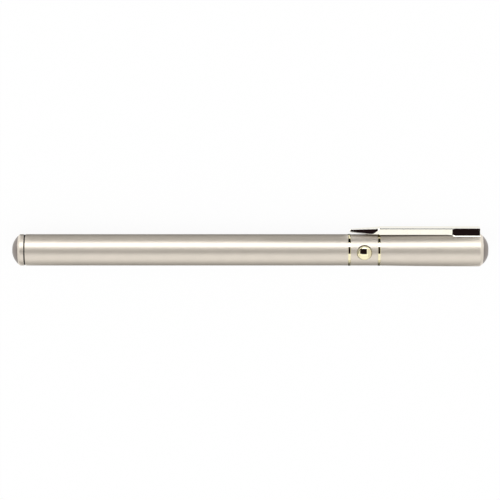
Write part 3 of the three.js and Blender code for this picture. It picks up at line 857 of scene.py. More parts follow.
@dataclass(frozen=True)
class Thread:
    """The screw thread between tail plug and barrel."""

    pitch: float = 0.75
    turns: float = 6
    sharpness: float = 1.5

    def ridge(self, along: np.ndarray, angle: np.ndarray) -> np.ndarray:
        """Ridge from 0 to 1: raised cosine of along over the pitch less the angle's turns, to a power."""
        phase = along / self.pitch - angle / (2 * math.pi)
        return (0.5 + 0.5 * np.cos(2 * math.pi * phase)) ** self.sharpness


@dataclass
class Workshop:
    """What every sub-assembly needs: the pen's axes, the finishes, the main radii and the thread."""

    axes: PenAxes
    finishes: Finishes
    thread: Thread = Thread()
    wall: float = 0.5
    seat_gap: float = 0.05

    @property
    def barrel_radius(self) -> float:
        """Outer radius of the barrel."""
        return self.axes.radius("barrel_tube")

    @property
    def nose_radius(self) -> float:
        """Outer radius of the cap at the nose."""
        return self.axes.radius("cap_tube")

    @property
    def bore(self) -> float:
        """Inner radius of the tubes."""
        return self.barrel_radius - self.wall

    @property
    def insert_radius(self) -> float:
        """Radius of what is pressed into the tubes."""
        return self.bore - self.seat_gap

    def dressed(self, skin: Skin, name: str, finish: Finish, nodes: tuple[str, ...]) -> bpy.types.Object:
        """Finishes a piece and dresses it, in place of its CAD nodes.

        Args:
            skin: Its surface.
            name: Its name.
            finish: Its finish.
            nodes: The CAD nodes that it stands for.

        Returns:
            The piece.
        """
        piece = skin.finished(name)
        self.finishes.dress(piece, finish)
        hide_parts(*nodes)
        return piece

    def keep(self, skin: Skin, name: str, body: str, finish: Finish, *nodes: str) -> bpy.types.Object:
        """Makes a piece that moves with one body.

        Args:
            skin: Its surface.
            name: Its name.
            body: The body.
            finish: Its finish.
            *nodes: The CAD nodes that it stands for.

        Returns:
            The piece.
        """
        piece = self.dressed(skin, name, finish, nodes)
        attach(piece, body)
        log.info("%s: %d faces on %s", name, len(piece.data.polygons), body)
        return piece

    def keep_bending(
        self,
        skin: Skin,
        name: str,
        bodies: tuple[str, str],
        ends: tuple[float, float],
        finish: Finish,
        *nodes: str,
    ) -> bpy.types.Object:
        """Makes a piece that reaches from one body to another, baked in place and tied to neither.

        Args:
            skin: Its surface.
            name: Its name.
            bodies: The body of its first part and of its last.
            ends: Where the first part ends and the last one starts along the pen.
            finish: Its finish.
            *nodes: The CAD nodes that it stands for.

        Returns:
            The piece.
        """
        piece = self.dressed(skin, name, finish, nodes)
        start, end = (tuple(self.axes.place(np.array([along, 0.0, 0.0]))) for along in ends)
        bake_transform(piece)
        log.info("%s: %d faces between %s and %s", name, len(piece.data.polygons), *bodies)
        return piece

    @staticmethod
    def on_button(grid: np.ndarray, middle: float) -> np.ndarray:
        """Stands a turned grid, whose along is a level, up on the button's axis at a place on the pen."""
        return np.stack([middle - grid[..., 2], grid[..., 1], grid[..., 0]], axis=-1)

    def turned_piece(self, outline: Outline, name: str, body: str, finish: Finish) -> bpy.types.Object:
        """Makes a turned piece that stands for the CAD node it is named after."""
        return self.keep(Skin(self.axes).lathe(outline), f"{name}_smooth", body, finish, name)


@dataclass
class Assembly:
    """A sub-assembly, made in the workshop."""

    shop: Workshop

    @property
    def axes(self) -> PenAxes:
        """The pen's axes."""
        return self.shop.axes

    @property
    def finishes(self) -> Finishes:
        """The finishes."""
        return self.shop.finishes


@dataclass
class TailCap(Assembly):
    """Tail cap: rounded ring, domed plug with its thread, and rubber seal."""

    dome_rise: float = 2.55
    flat_radius: float = 1.2
    edge_round: float = 0.07
    seam_round: float = 0.05
    lip: float = 0.25
    lip_foot: float = 4.62
    lip_gap: float = 0.02
    seal_top: float = 4.8
    seal_round: float = 0.08
    seal_foot_round: float = 0.1
    thread_depth: float = 0.33
    thread_root: float = 3.85
    shank_bevel: float = 0.12
    bevel_length: float = 0.15
    spring_bore: float = 2.9
    floor_inset: float = 0.4
    floor_bevel: float = 0.1
    segments: int = 120

    @property
    def end(self) -> DomedEnd:
        """The tail's domed end."""
        return DomedEnd(self.shop.barrel_radius, self.dome_rise)

    @property
    def cap_length(self) -> float:
        """Length of the cap from the tail face to the seal."""
        return self.axes.span("tail_cap_ring")[1]

    @property
    def shoulder(self) -> float:
        """Where the cap's rounding starts, measured from the tail face."""
        return float(self.end.distance_at(self.flat_radius))

    def tailwards(self, points: np.ndarray) -> np.ndarray:
        """Turns distances from the shoulder into places along the pen."""
        return np.stack([self.shoulder - points[:, 0], points[:, 1]], axis=-1)

    def make_ring(self) -> None:
        """Ring round the plug's face: the rim's arc outside, the bore inside and a lip over the seal."""
        radius, bore = self.shop.barrel_radius, self.shop.bore
        outline = (
            Outline()
            .corner(self.cap_length, bore)
            .corner(self.cap_length, self.lip_foot)
            .corner(self.cap_length + self.lip, self.lip_foot)
            .corner(self.cap_length + self.lip, radius, self.edge_round)
            .curve(self.tailwards(self.end.rim()))
            .corner(self.shoulder - float(self.end.distance_at(bore)), bore, self.seam_round)
        )
        self.shop.turned_piece(outline, "tail_cap_ring", "tail_cap", self.finishes.turned_nickel)

    def ridge_places(self) -> tuple[float, float]:
        """Where the thread's ridge starts and ends along the pen."""
        start = self.axes.span("barrel_tube")[0] + self.thread_depth + self.shop.seat_gap
        return start, start + self.shop.thread.turns * self.shop.thread.pitch

    def shank(self, rows: int = 260) -> np.ndarray:
        """Shank of the plug with its ridge.

        The radius is the root plus the depth times the thread's ridge and a fade. The fade rises from
        0 to 1 over half a pitch about the ridge's start and falls likewise about its end. Over the
        bevel's length the radius shrinks by the bevel times the square of the way into it.

        Args:
            rows: Rows along the pen.

        Returns:
            A grid of places along the pen by angles.
        """
        start, end = self.cap_length, self.axes.span("tail_plug")[1]
        ridge_start, ridge_end = self.ridge_places()
        along = np.linspace(start, end, rows)[:, None]
        angle = whole_turn(self.segments)
        thread = self.shop.thread
        fade = np.clip((along - ridge_start) / thread.pitch * 2 + 0.5, 0, 1)
        fade = fade * np.clip((ridge_end - along) / thread.pitch * 2 + 0.5, 0, 1)
        ridge = self.thread_depth * thread.ridge(along - ridge_start, angle) * fade
        into_bevel = 1 - np.clip((end - along) / self.bevel_length, 0, 1)
        return around(along, self.thread_root + ridge - self.shank_bevel * into_bevel**2, angle)

    def make_plug(self) -> None:
        """Plug: domed head, threaded shank and the bore that seats the spring."""
        plug_end = self.axes.span("tail_plug")[1]
        floor = self.cap_length - self.floor_inset
        skin = Skin(self.axes).grid(self.shank(), loop_columns=True)
        head = (
            Outline()
            .corner(self.cap_length, self.thread_root)
            .corner(self.cap_length, self.shop.insert_radius, self.seam_round)
            .curve(self.tailwards(self.end.face(self.shop.insert_radius, self.flat_radius)))
            .curve(np.array([[0.0, self.flat_radius / 2], [0.0, 0.0]]))
        )
        skin.lathe(head, self.segments, open_ended=True)
        bore = (
            Outline()
            .corner(plug_end, self.thread_root - self.shank_bevel)
            .corner(plug_end, self.spring_bore + self.bevel_length)
            .corner(plug_end - self.bevel_length, self.spring_bore)
            .corner(floor + self.floor_bevel, self.spring_bore)
            .corner(floor, self.spring_bore - self.floor_bevel)
            .corner(floor, 0.0)
        )
        skin.lathe(bore, self.segments, open_ended=True)
        self.shop.keep(skin, "tail_plug_smooth", "tail_cap", self.finishes.dark_nickel, "tail_plug")

    def make_seal(self) -> None:
        """Rubber ring in the groove. It stands up beside the cap's lip, nearly to the surface."""
        start, end = self.axes.span("tail_seal_ring")
        foot = self.thread_root + self.shop.seat_gap
        step, step_level = start + self.lip + self.lip_gap, self.lip_foot - self.lip_gap
        outline = (
            Outline()
            .corner(start, foot, self.seal_foot_round)
            .corner(start, step_level, self.seal_foot_round)
            .corner(step, step_level)
            .corner(step, self.seal_top, self.seal_round)
            .corner(end, self.seal_top, self.seal_round)
            .corner(end, foot, self.seal_foot_round)
        )
        skin = Skin(self.axes).lathe(outline)
        self.shop.keep(skin, "tail_seal_smooth", "tail_cap", self.finishes.rubber, "tail_seal_ring")

    def make(self) -> None:
        """Makes all three pieces."""
        self.make_ring()
        self.make_plug()
        self.make_seal()


@dataclass
class Barrel(Assembly):
    """Long tube with the plug's threaded bore at its tail end."""

    thread_bore: float = 4.28
    groove_depth: float = 0.14
    thread_length: float = 5.7
    mouth_length: float = 0.3
    mouth_flare: float = 0.12
    edge_round: float = 0.07
    front_round: float = 0.07 / 3
    segments: int = 128

    def make(self) -> None:
        """Makes the tube: outside, ends and plain bore turned, threaded bore as a groove."""
        start, end = self.axes.span("barrel_tube")
        radius, bore = self.shop.barrel_radius, self.shop.bore
        mouth_end, thread_end = start + self.mouth_length, start + self.thread_length
        outline = (
            Outline()
            .corner(mouth_end, self.thread_bore)
            .corner(start, self.thread_bore + self.mouth_flare)
            .corner(start, radius, self.edge_round)
            .corner(end, radius, self.front_round)
            .corner(end, bore)
            .corner(thread_end, bore)
            .corner(thread_end, self.thread_bore)
        )
        skin = Skin(self.axes).lathe(outline, self.segments, open_ended=True)
        skin.grid(self.groove(mouth_end, thread_end), loop_columns=True)
        nickel = self.finishes.satin_nickel
        self.shop.keep(skin, "barrel_tube_smooth", "housing", nickel, "barrel_tube")

    def groove(self, start: float, end: float, rows: int = 200) -> np.ndarray:
        """Threaded bore, hollowed along a helix.

        The radius is the bore's plus the groove's depth times the thread's ridge and a fade, which
        rises from 0 to 1 over the first pitch and falls likewise over the last.

        Args:
            start: Where it starts along the pen.
            end: Where it ends.
            rows: Rows along the pen.

        Returns:
            A grid of places along the pen by angles.
        """
        along = np.linspace(start, end, rows)[:, None]
        angle = whole_turn(self.segments)
        thread = self.shop.thread
        fade = np.clip(np.minimum(along - start, end - along) / thread.pitch, 0, 1)
        hollow = self.groove_depth * fade * thread.ridge(along - start, angle)
        return around(along, self.thread_bore + hollow, angle)


@dataclass
class GoldRings(Assembly):
    """The two narrow gold rings with a soft crown."""

    crown: float = 0.09
    flatness: float = 0.8
    steps: int = 24

    def make(self) -> None:
        """Makes both rings.

        The crown's height follows the sine of its share of half a turn to the power of the flatness.
        """
        share = np.linspace(0, 1, self.steps + 1)
        height = self.crown * np.sin(math.pi * share) ** self.flatness
        for node in ("rear_gold_ring", "front_gold_ring"):
            start, end = self.axes.span(node)
            along = start + (end - start) * (0.5 - 0.5 * np.cos(math.pi * share))
            crown = np.stack([along, self.shop.barrel_radius + height], axis=-1)
            outline = Outline().corner(start, self.shop.bore).curve(crown).corner(end, self.shop.bore)
            self.shop.turned_piece(outline, node, "housing", self.finishes.gold)


@dataclass
class SwitchCollar(Assembly):
    """Short tube between the gold rings, with the button's round hole through its side."""

    hole_radius: float = 2.4
    hole_round: float = 0.12
    end_round: float = 0.06
    inner_lip: float = -0.02
    patch_half_angle: float = 0.82
    crowding: float = 1.3
    per_side: int = 24
    lip_steps: int = 6
    face_steps: int = 14
    rest_steps: int = 96

    @property
    def patch_turn(self) -> np.ndarray:
        """Angles across the patch, from the button's direction, without the last."""
        return self.patch_half_angle * np.linspace(-1, 1, self.per_side, endpoint=False)

    @property
    def rest_turn(self) -> np.ndarray:
        """Angles of the rest of the tube, from the patch's one long border round to the other."""
        return np.linspace(self.patch_half_angle, 2 * math.pi - self.patch_half_angle, self.rest_steps + 1)

    @staticmethod
    def from_top(along: np.ndarray, radius: np.ndarray | float, angle: np.ndarray) -> np.ndarray:
        """Points about the pen's axis, with their angles taken from the button's direction."""
        parts = np.broadcast_arrays(along, radius * np.sin(angle), radius * np.cos(angle))
        return np.stack(parts, axis=-1)

    def plan_rows(self, radius: float, half_length: float) -> tuple[np.ndarray, np.ndarray]:
        """Rows of points between the hole and the patch's straight border, seen from above.

        Args:
            radius: Radius of the tube's face.
            half_length: Half the patch's length along the pen.

        Returns:
            Circle points and border points, each as [along, across], at the same places round.
        """
        steps = np.linspace(-1, 1, self.per_side, endpoint=False)
        across = radius * np.sin(self.patch_half_angle * steps)
        edge = radius * math.sin(self.patch_half_angle)
        along = half_length * steps
        full = np.full(self.per_side, 1.0)
        border = np.concatenate(
            [
                np.stack([half_length * full, across], axis=-1),
                np.stack([-along, edge * full], axis=-1),
                np.stack([-half_length * full, -across], axis=-1),
                np.stack([along, -edge * full], axis=-1),
            ]
        )
        bearing = np.arctan2(border[:, 1] / edge, border[:, 0] / half_length)
        circle = self.hole_radius * np.stack([np.cos(bearing), np.sin(bearing)], axis=-1)
        return circle, border

    def patch(self, radius: float, half_length: float, centre: float, lip: float) -> np.ndarray:
        """Face of the tube round the hole.

        Rows go from the hole's edge, rounded by lip, to the border. A point seen from above at
        [along, across] lies at the height of the tube there, the root of radius squared less across
        squared. On the lip the row steps out by the lip's share and drops by the rest of it.

        Args:
            radius: Radius of the tube's face.
            half_length: Half the patch's length along the pen.
            centre: Where the hole's middle lies along the pen.
            lip: Radius of the edge's rounding, below 0 for one that turns up into the wall.

        Returns:
            A grid of rows by places round the hole.
        """
        circle, border = self.plan_rows(radius, half_length)
        outward = circle / self.hole_radius
        angle = np.linspace(0, math.pi / 2, self.lip_steps + 1)[:, None, None]
        lip_rows = circle + abs(lip) * (1 - np.cos(angle)) * outward
        drop = lip * (1 - np.sin(angle[..., 0]))
        share = np.linspace(0, 1, self.face_steps + 1)[1:, None, None] ** self.crowding
        flat_rows = lip_rows[-1] + share * (border - lip_rows[-1])
        plan = np.concatenate([lip_rows, flat_rows])
        fall = np.concatenate([np.broadcast_to(drop, lip_rows.shape[:2]), np.zeros(flat_rows.shape[:2])])
        height = np.sqrt(radius**2 - plan[..., 1] ** 2) - fall
        return np.stack([centre + plan[..., 0], plan[..., 1], height], axis=-1)

    def rest(self, radius: float, half_length: float, centre: float) -> np.ndarray:
        """Rest of the tube's face, beyond the patch's long borders."""
        along = centre + half_length * np.linspace(-1, 1, self.per_side + 1)
        return self.from_top(along[:, None], radius, self.rest_turn)

    def tube_end(self, half_length: float, centre: float, side: int) -> np.ndarray:
        """End of the tube, from the outer face over the rounded edge and the flat to the inner face.

        Args:
            half_length: Half the faces' length along the pen.
            centre: Where the hole's middle lies along the pen.
            side: 1 for the end towards the nose, -1 for the other.

        Returns:
            A grid of rows by places round the tube.
        """
        angle = np.linspace(math.pi / 2, 0, self.lip_steps + 1)
        reach = half_length + self.end_round * np.cos(angle)
        radius = self.shop.barrel_radius - self.end_round * (1 - np.sin(angle))
        reach = np.concatenate([reach, [reach[-1], half_length]])
        radius = np.concatenate([radius, [self.shop.bore + self.end_round, self.shop.bore]])
        whole = np.concatenate([self.patch_turn, self.rest_turn[:-1]])
        return self.from_top((centre + side * reach)[:, None], radius[:, None], whole)

    def make(self) -> None:
        """Makes the collar: two faces, the hole's wall and the rounded ends."""
        start, end = self.axes.span("switch_collar")
        centre, outer, inner = (start + end) / 2, self.shop.barrel_radius, self.shop.bore
        half_length = (end - start) / 2 - self.end_round
        skin = Skin(self.axes)
        outside = self.patch(outer, half_length, centre, self.hole_round)
        inside = self.patch(inner, half_length, centre, self.inner_lip)
        lip_mark = np.concatenate([np.ones(self.lip_steps + 1), np.zeros(self.face_steps)])
        skin.grid(outside, lip_mark, loop_columns=True)
        skin.grid(inside, loop_columns=True)
        skin.grid(np.stack([outside[0], inside[0]]), loop_columns=True)
        skin.grid(self.rest(outer, half_length, centre))
        skin.grid(self.rest(inner, half_length, centre))
        for side in (-1, 1):
            skin.grid(self.tube_end(half_length, centre, side), loop_columns=True)
        nickel = self.finishes.satin_nickel
        self.shop.keep(skin, "switch_collar_smooth", "housing", nickel, "switch_collar")


@dataclass
class Button(Assembly):
    """Domed gold push button with its flange."""

    radius: float = 2.25
    proud: float = 0.9
    crown_rise: float = 0.475
    edge_round: float = 0.35
    flange_lip: float = 0.55
    flange_thickness: float = 0.4
    flange_gap: float = 0.1
    flange_round: float = 0.06
    boss_radius: float = 1.1
    plunger_top: float = 2.27
    crown_steps: int = 19
    edge_steps: int = 8
    segments: int = 96

    def crown(self) -> np.ndarray:
        """Ball crown and the rounded edge below it.

        The ball's radius is the crown's squared plus its rise squared, over twice the rise. The edge
        goes on from the ball's slope to upright, as part of an ellipse.

        Returns:
            Points of [level, radius] from the middle outwards.
        """
        top = self.shop.barrel_radius + self.proud
        crown_radius = self.radius - self.edge_round
        ball = (crown_radius**2 + self.crown_rise**2) / (2 * self.crown_rise)
        across = np.linspace(0, crown_radius, self.crown_steps + 1)
        level = top - ball + np.sqrt(ball**2 - across**2)
        slope = math.asin(crown_radius / ball)
        turn = np.linspace(slope, math.pi / 2, self.edge_steps + 1)[1:]
        edge_centre = crown_radius - self.edge_round * math.sin(slope)
        foot = top - self.crown_rise - self.edge_round * math.cos(slope)
        edge_across = edge_centre + (self.radius - edge_centre) * np.sin(turn)
        edge = np.stack([foot + self.edge_round * np.cos(turn), edge_across], axis=-1)
        return np.concatenate([np.stack([level, across], axis=-1), edge])

    def make(self) -> None:
        """Turns the button about its own axis: crown, side, flange and boss."""
        start, end = self.axes.span("button_cap")
        flange_radius = self.radius + self.flange_lip
        flange_top = math.sqrt(self.shop.bore**2 - flange_radius**2) - self.flange_gap
        flange_bottom = flange_top - self.flange_thickness
        boss_foot = self.plunger_top + self.shop.seat_gap
        outline = (
            Outline()
            .curve(self.crown())
            .corner(flange_top, self.radius)
            .corner(flange_top, flange_radius, self.flange_round)
            .corner(flange_bottom, flange_radius, self.flange_round)
            .corner(flange_bottom, self.boss_radius)
            .corner(boss_foot, self.boss_radius, self.flange_round)
            .corner(boss_foot, 0.0)
        )
        points, edge = outline.traced()
        grid = self.shop.on_button(turned(points, self.segments), (start + end) / 2)
        skin = Skin(self.axes).grid(grid, edge, loop_columns=True)
        self.shop.keep(skin, "button_cap_smooth", "button", self.finishes.gold, "button_cap")


@dataclass
class SnapDome(Assembly):
    """Domed spring sheet in the switch, which flattens under the plunger."""

    floor: float = 0.175
    top: float = 0.775
    sheet: float = 0.1
    pressed_share: float = 0.2
    steps: int = 16
    segments: int = 64

    def skin_line(self, crest: float, radius: float) -> np.ndarray:
        """Arc from the crest to the rim, whose level falls to the floor with a quarter turn's cosine.

        Args:
            crest: Level of its top.
            radius: Radius of its rim.

        Returns:
            Points of [level, radius].
        """
        share = np.linspace(0, 1, self.steps + 1)
        level = self.floor + (crest - self.floor) * np.cos(math.pi / 2 * share)
        return np.stack([level, radius * share], axis=-1)

    def make(self) -> None:
        """Turns both skins about the button's axis."""
        start, end = self.axes.span("switch_snap_dome")
        middle, rim = (start + end) / 2, (end - start) / 2
        outer = self.skin_line(self.top, rim)
        inner = self.skin_line(self.top - self.sheet, rim - self.sheet)
        outline = np.concatenate([outer, inner[::-1]])
        grid = self.shop.on_button(turned(outline, self.segments), middle)
        skin = Skin(self.axes).grid(grid, loop_columns=True)
        finish = self.finishes.steel
        piece = self.shop.keep(skin, "switch_snap_dome_smooth", "housing", finish, "switch_snap_dome")
        foot = self.axes.place(np.array([middle, 0.0, self.floor]))
        press = tuple(self.axes.buttonward)
        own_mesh(piece)


@dataclass
class CapTube(Assembly):
    """Nickel cap between the front ring and the nose, a little thicker towards the nose."""

    start_round: float = 0.05
    seam_round: float = 0.05
    steps: int = 39

    def make(self) -> None:
        """Makes the cap. Its radius grows by the flare times 1 less the square of the share still to go."""
        start = self.axes.span("cap_tube")[0]
        nose = Nose(self.shop)
        radius, bore = self.shop.barrel_radius, self.shop.bore
        share = np.linspace(0, 1, self.steps + 1)[1:]
        flare = self.shop.nose_radius - radius
        along = start + (nose.shoulder - start) * share
        side = np.stack([along, radius + flare * (1 - (1 - share) ** 2)], axis=-1)
        outline = (
            Outline()
            .corner(start, bore)
            .corner(start, radius, self.start_round)
            .curve(side)
            .curve(nose.nosewards(nose.end.rim())[1:])
            .corner(nose.shoulder + float(nose.end.distance_at(bore)), bore, self.seam_round)
        )
        self.shop.turned_piece(outline, "cap_tube", "housing", self.finishes.satin_nickel)


@dataclass
class Nose(Assembly):
    """Domed nose insert with the beam's aperture."""

    dome_rise: float = 2.9
    aperture_radius: float = 1.25
    flat_width: float = 0.5
    skirt_wall: float = 0.9
    face_thickness: float = 1.0
    rim_round: float = 0.45
    edge_round: float = 0.08

    @property
    def end(self) -> DomedEnd:
        """The nose's domed end."""
        return DomedEnd(self.shop.nose_radius, self.dome_rise, self.rim_round)

    @property
    def face(self) -> float:
        """Place of the flat round the aperture."""
        return self.axes.span("nose_dome")[1]

    @property
    def shoulder(self) -> float:
        """Where the cap's rounding starts."""
        return self.face - float(self.end.distance_at(self.aperture_radius + self.flat_width))

    def nosewards(self, points: np.ndarray) -> np.ndarray:
        """Turns distances from the shoulder into places along the pen."""
        return np.stack([self.shoulder + points[:, 0], points[:, 1]], axis=-1)

    def make(self) -> None:
        """Makes the insert: skirt, domed face, flat and aperture."""
        start = self.axes.span("nose_dome")[0]
        outer = self.shop.insert_radius
        skirt = outer - self.skirt_wall
        face_rear = self.face - self.face_thickness
        outline = (
            Outline()
            .corner(start, skirt)
            .corner(start, outer, self.edge_round)
            .curve(self.nosewards(self.end.face(outer, self.aperture_radius + self.flat_width)))
            .corner(self.face, self.aperture_radius, self.edge_round)
            .corner(face_rear, self.aperture_radius)
            .corner(face_rear - (skirt - self.aperture_radius), skirt)
        )
        self.shop.turned_piece(outline, "nose_dome", "housing", self.finishes.dark_nickel)


@dataclass
class PocketClip(Assembly):
    """Gold pocket clip: spear-shaped tip, folded arm and the root that sits on the cap.

    The clip is one sheet, so one piece stands for the arm and the root. It is lofted through sections
    across the pen. A row of a table of sections holds its place along the pen, level and half width of
    the top, of the leaning side's upper edge, of its foot and of the sole.
    """

    half_width: float = 2.05
    sheet: float = 0.5
    top_edge: float = 0.2
    cheek_lean: float = 0.073
    lip_tuck: float = 0.05
    tip_length: float = 9.5
    tip_droop: float = 0.64
    top_rise: float = 2.07
    contact_gap: float = 0.12
    cheek_bottom: float = 5.24
    root_top_half: float = 1.78
    root_edge: float = 0.05
    root_foot_half: float = 2.22
    root_lip_half: float = 2.31
    root_step: float = 4.97
    root_lip: float = 4.86
    root_overhang: float = 0.2
    end_round: float = 0.08
    cheek_share: float = 0.88
    sole_share: float = 0.75
    roof_share: float = 0.6
    steps: int = 5
    tip_steps: int = 60
    end_rings: int = 4

    # How far beyond the root's start the change from the arm ends and the root's own rows begin, and
    # how much sooner than the rest the sole's half width is through
    change_end: float = 0.8
    root_begin: float = 1.0
    lip_lead: float = 1.8

    # Lengths over which the roundings change at the arm's and the root's start, how far before the
    # flex line the sole starts to seat and over what length, and how far the bend reaches each way
    arm_ease: float = 2.0
    root_ease: float = 1.0
    seat_before: float = 0.4
    seat_length: float = 0.6
    bend_before: float = 1.8
    bend_beyond: float = 1.2
    tip_rounding: tuple[float, ...] = (0.04, 0.04, 0.1, 0.06, 0.03, 0.03)
    arm_rounding: tuple[float, ...] = (0.12, 0.12, 0.15, 0.08, 0.03, 0.03)
    root_rounding: tuple[float, ...] = (0.03, 0.03, 0.02, 0.01, 0.03, 0.03)

    # Places of the arm's rows from the tip's end, and of the root's as shares of its length
    arm_places = (0.02, 0.3, 1.0, 4.0, 9.0, 14.0, 19.0, 21.7, 23.0)
    root_shares = (0.0, 0.5, 0.88, 0.96)

    # At the root's end the levels of foot and sole stay and all other columns draw in
    drawn_in = (1, 1, 1, 1, 0, 1, 0, 1)

    # The tip as shares: way along it, droop and half width of its top, depth and half width of the
    # leaning side's upper edge, depth of its foot, depth and half width of the sole
    tip_shares = (
        (0, 1, 0.17, 0.49, 0.26, 0.54, 0.59, 0.16),
        (0.02, 0.99, 0.22, 0.53, 0.31, 0.58, 0.64, 0.22),
        (0.06, 0.96, 0.28, 0.58, 0.38, 0.64, 0.69, 0.3),
        (0.25, 0.78, 0.45, 0.665, 0.56, 0.715, 0.77, 0.45),
        (0.5, 0.56, 0.63, 0.735, 0.77, 0.79, 0.85, 0.64),
        (0.62, 0.48, 0.71, 0.785, 0.87, 0.835, 0.94, 0.66),
        (0.69, 0.44, 0.77, 0.805, 0.94, 0.85, 1, 0.62),
        (0.77, 0.38, 0.82, 0.79, 1, 0.845, 0.97, 0.7),
        (0.87, 0.28, 0.9, 0.52, 1, 0.83, 0.95, 0.82),
        (0.94, 0.15, 0.902, 0.28, 1, 0.838, 0.946, 0.88),
        (1, 0, 0.902, 0.093, 1, 0.842, 0.944, 0.918),
    )

    @property
    def top(self) -> float:
        """Level of the clip's top above the pen's axis."""
        return self.shop.nose_radius + self.top_rise

    @property
    def keel_depth(self) -> float:
        """Depth of the keel under the clip's top."""
        return self.top - self.shop.barrel_radius - self.contact_gap

    def tip_table(self, start: float) -> np.ndarray:
        """Sections of the tip, drawn finely between the rows of shares.

        Args:
            start: Where the tip starts along the pen.

        Returns:
            Rows of sections.
        """
        rows = np.array(self.tip_shares, dtype=float)
        fine = np.unique(np.concatenate([rows[:, 0], np.linspace(0, 1, self.tip_steps + 1)]))
        along, droop, top, upper, side, foot, sole, sole_half = (
            np.interp(fine, rows[:, 0], column) for column in rows.T
        )
        foot_half = self.half_width * side - self.cheek_lean * self.keel_depth * (foot - upper)
        return np.stack(
            [
                start + self.tip_length * along,
                self.top - self.tip_droop * droop,
                self.half_width * top,
                self.top - self.keel_depth * upper,
                self.half_width * side,
                self.top - self.keel_depth * foot,
                foot_half,
                self.top - self.keel_depth * sole,
                self.half_width * sole_half,
            ],
            axis=-1,
        )

    def sections(self, table: np.ndarray, channel: np.ndarray, seat: np.ndarray) -> np.ndarray:
        """Corner outlines of the clip's sections, as [clipward, buttonward].

        Args:
            table: Rows of sections.
            channel: How far each section is hollowed from below, from 0 to 1.
            seat: How far each section's sole follows the round cap, from 0 to 1.

        Returns:
            Sections by corners by coordinates: the top, the leaning sides, the feet, the lips and
            the roof of the channel, all the way round.
        """
        top, top_half, side, side_half, foot, foot_half, sole, sole_half = table.T[1:]
        inside = self.half_width - self.sheet
        inner_half = np.where(channel > 0, inside, np.minimum(sole_half * self.sole_share, inside))
        roof = sole + channel * (self.top - self.sheet - sole)
        cap_radius = self.shop.nose_radius + self.shop.seat_gap

        def seated(level: np.ndarray, half: np.ndarray) -> np.ndarray:
            """Moves a level at a half width onto the cap's round side as far as the section is seated."""
            on_cap = np.sqrt(cap_radius**2 - half**2)
            return level + seat * (on_cap - level)

        roof_half = inner_half * self.roof_share
        half = [
            (top, top_half),
            (side, side_half),
            (foot, foot_half),
            (seated(sole, sole_half), sole_half),
            (seated(sole, inner_half), inner_half),
            (seated(roof, roof_half), np.where(channel > 0, inner_half, roof_half)),
        ]
        right = [np.stack([level, across], axis=-1) for level, across in half]
        left = [np.stack([level, -across], axis=-1) for level, across in reversed(half)]
        return np.stack(right + left, axis=1)

    @property
    def channel_start(self) -> float:
        """Where the tip ends and the folded arm starts along the pen."""
        return self.axes.span("clip_arm")[0] + self.tip_length

    @property
    def arm_last(self) -> float:
        """Where the arm's own section ends along the pen."""
        return self.channel_start + self.arm_places[-1]

    @property
    def arm_row(self) -> np.ndarray:
        """Section of the arm.

        Returns:
            A row without its place.
        """
        upper = self.top - self.top_edge
        foot = upper + self.cheek_share * (self.cheek_bottom - upper)
        foot_half = self.half_width - self.cheek_lean * (upper - foot)
        top = [self.top, self.half_width - self.top_edge, upper, self.half_width]
        return np.array([*top, foot, foot_half, self.cheek_bottom, foot_half - self.lip_tuck])

    @property
    def root_row(self) -> np.ndarray:
        """Section of the root, a row without its place."""
        top = [self.top, self.root_top_half, self.top - self.root_edge, self.root_top_half + self.root_edge]
        return np.array([*top, self.root_step, self.root_foot_half, self.root_lip, self.root_lip_half])

    def change_rows(self, start: float, end: float, steps: int = 14) -> np.ndarray:
        """Sections between arm and root.

        Each column goes over by 3 times the square of its share less 2 times the cube. The last one,
        the sole's half width, is through sooner.

        Args:
            start: Where the arm's section ends along the pen.
            end: Where the root's section is reached.
            steps: Sections, without the arm's own.

        Returns:
            Rows of sections.
        """
        turn = np.linspace(0, 1, steps + 1)[1:]
        share = np.tile(turn[:, None], len(self.arm_row))
        share[:, -1] = np.minimum(self.lip_lead * turn, 1.0)
        change = share * share * (3 - 2 * share) * (self.root_row - self.arm_row)
        return np.column_stack([start + (end - start) * turn, self.arm_row + change])

    def end_rows(self, end: float, steps: int = 6) -> np.ndarray:
        """Last sections of the root, drawn in along a quarter circle.

        Args:
            end: Where the root ends along the pen.
            steps: Steps in the quarter circle.

        Returns:
            Rows of sections.
        """
        angle = np.linspace(0, math.pi / 2, steps + 1)
        inset = self.end_round * (1 - np.cos(angle))
        last = self.root_row - inset[:, None] * np.array(self.drawn_in)
        return np.column_stack([end - self.end_round * (1 - np.sin(angle)), last])

    def table(self) -> np.ndarray:
        """Sections of the whole clip: tip, arm, the change to the root, root and rounded end.

        Returns:
            Rows of sections.
        """
        root_start, root_end = self.axes.span("clip_root")
        root_end += self.root_overhang
        arm_along = self.channel_start + np.array(self.arm_places)
        arm = np.tile(self.arm_row, (len(arm_along), 1))
        root_length = root_end - root_start - self.root_begin
        root_along = np.array(self.root_shares) * root_length + root_start + self.root_begin
        root = np.tile(self.root_row, (len(root_along), 1))
        return np.concatenate(
            [
                self.tip_table(self.axes.span("clip_arm")[0]),
                np.column_stack([arm_along, arm]),
                self.change_rows(self.arm_last, root_start + self.change_end),
                np.column_stack([root_along, root]),
                self.end_rows(root_end),
            ]
        )

    def radii(self, along: np.ndarray) -> np.ndarray:
        """Roundings of the sections' corners, which change evenly from the tip's to the arm's and on.

        Args:
            along: Places of the sections along the pen.

        Returns:
            Sections by corners.
        """
        tip, arm = np.array(self.tip_rounding), np.array(self.arm_rounding)
        on_arm = np.clip((along[:, None] - self.channel_start) / self.arm_ease, 0, 1)
        on_root = np.clip((along[:, None] - self.arm_last) / self.root_ease, 0, 1)
        half = tip + on_arm * (arm - tip) + on_root * (np.array(self.root_rounding) - arm)
        return np.concatenate([half, half[:, ::-1]], axis=1)

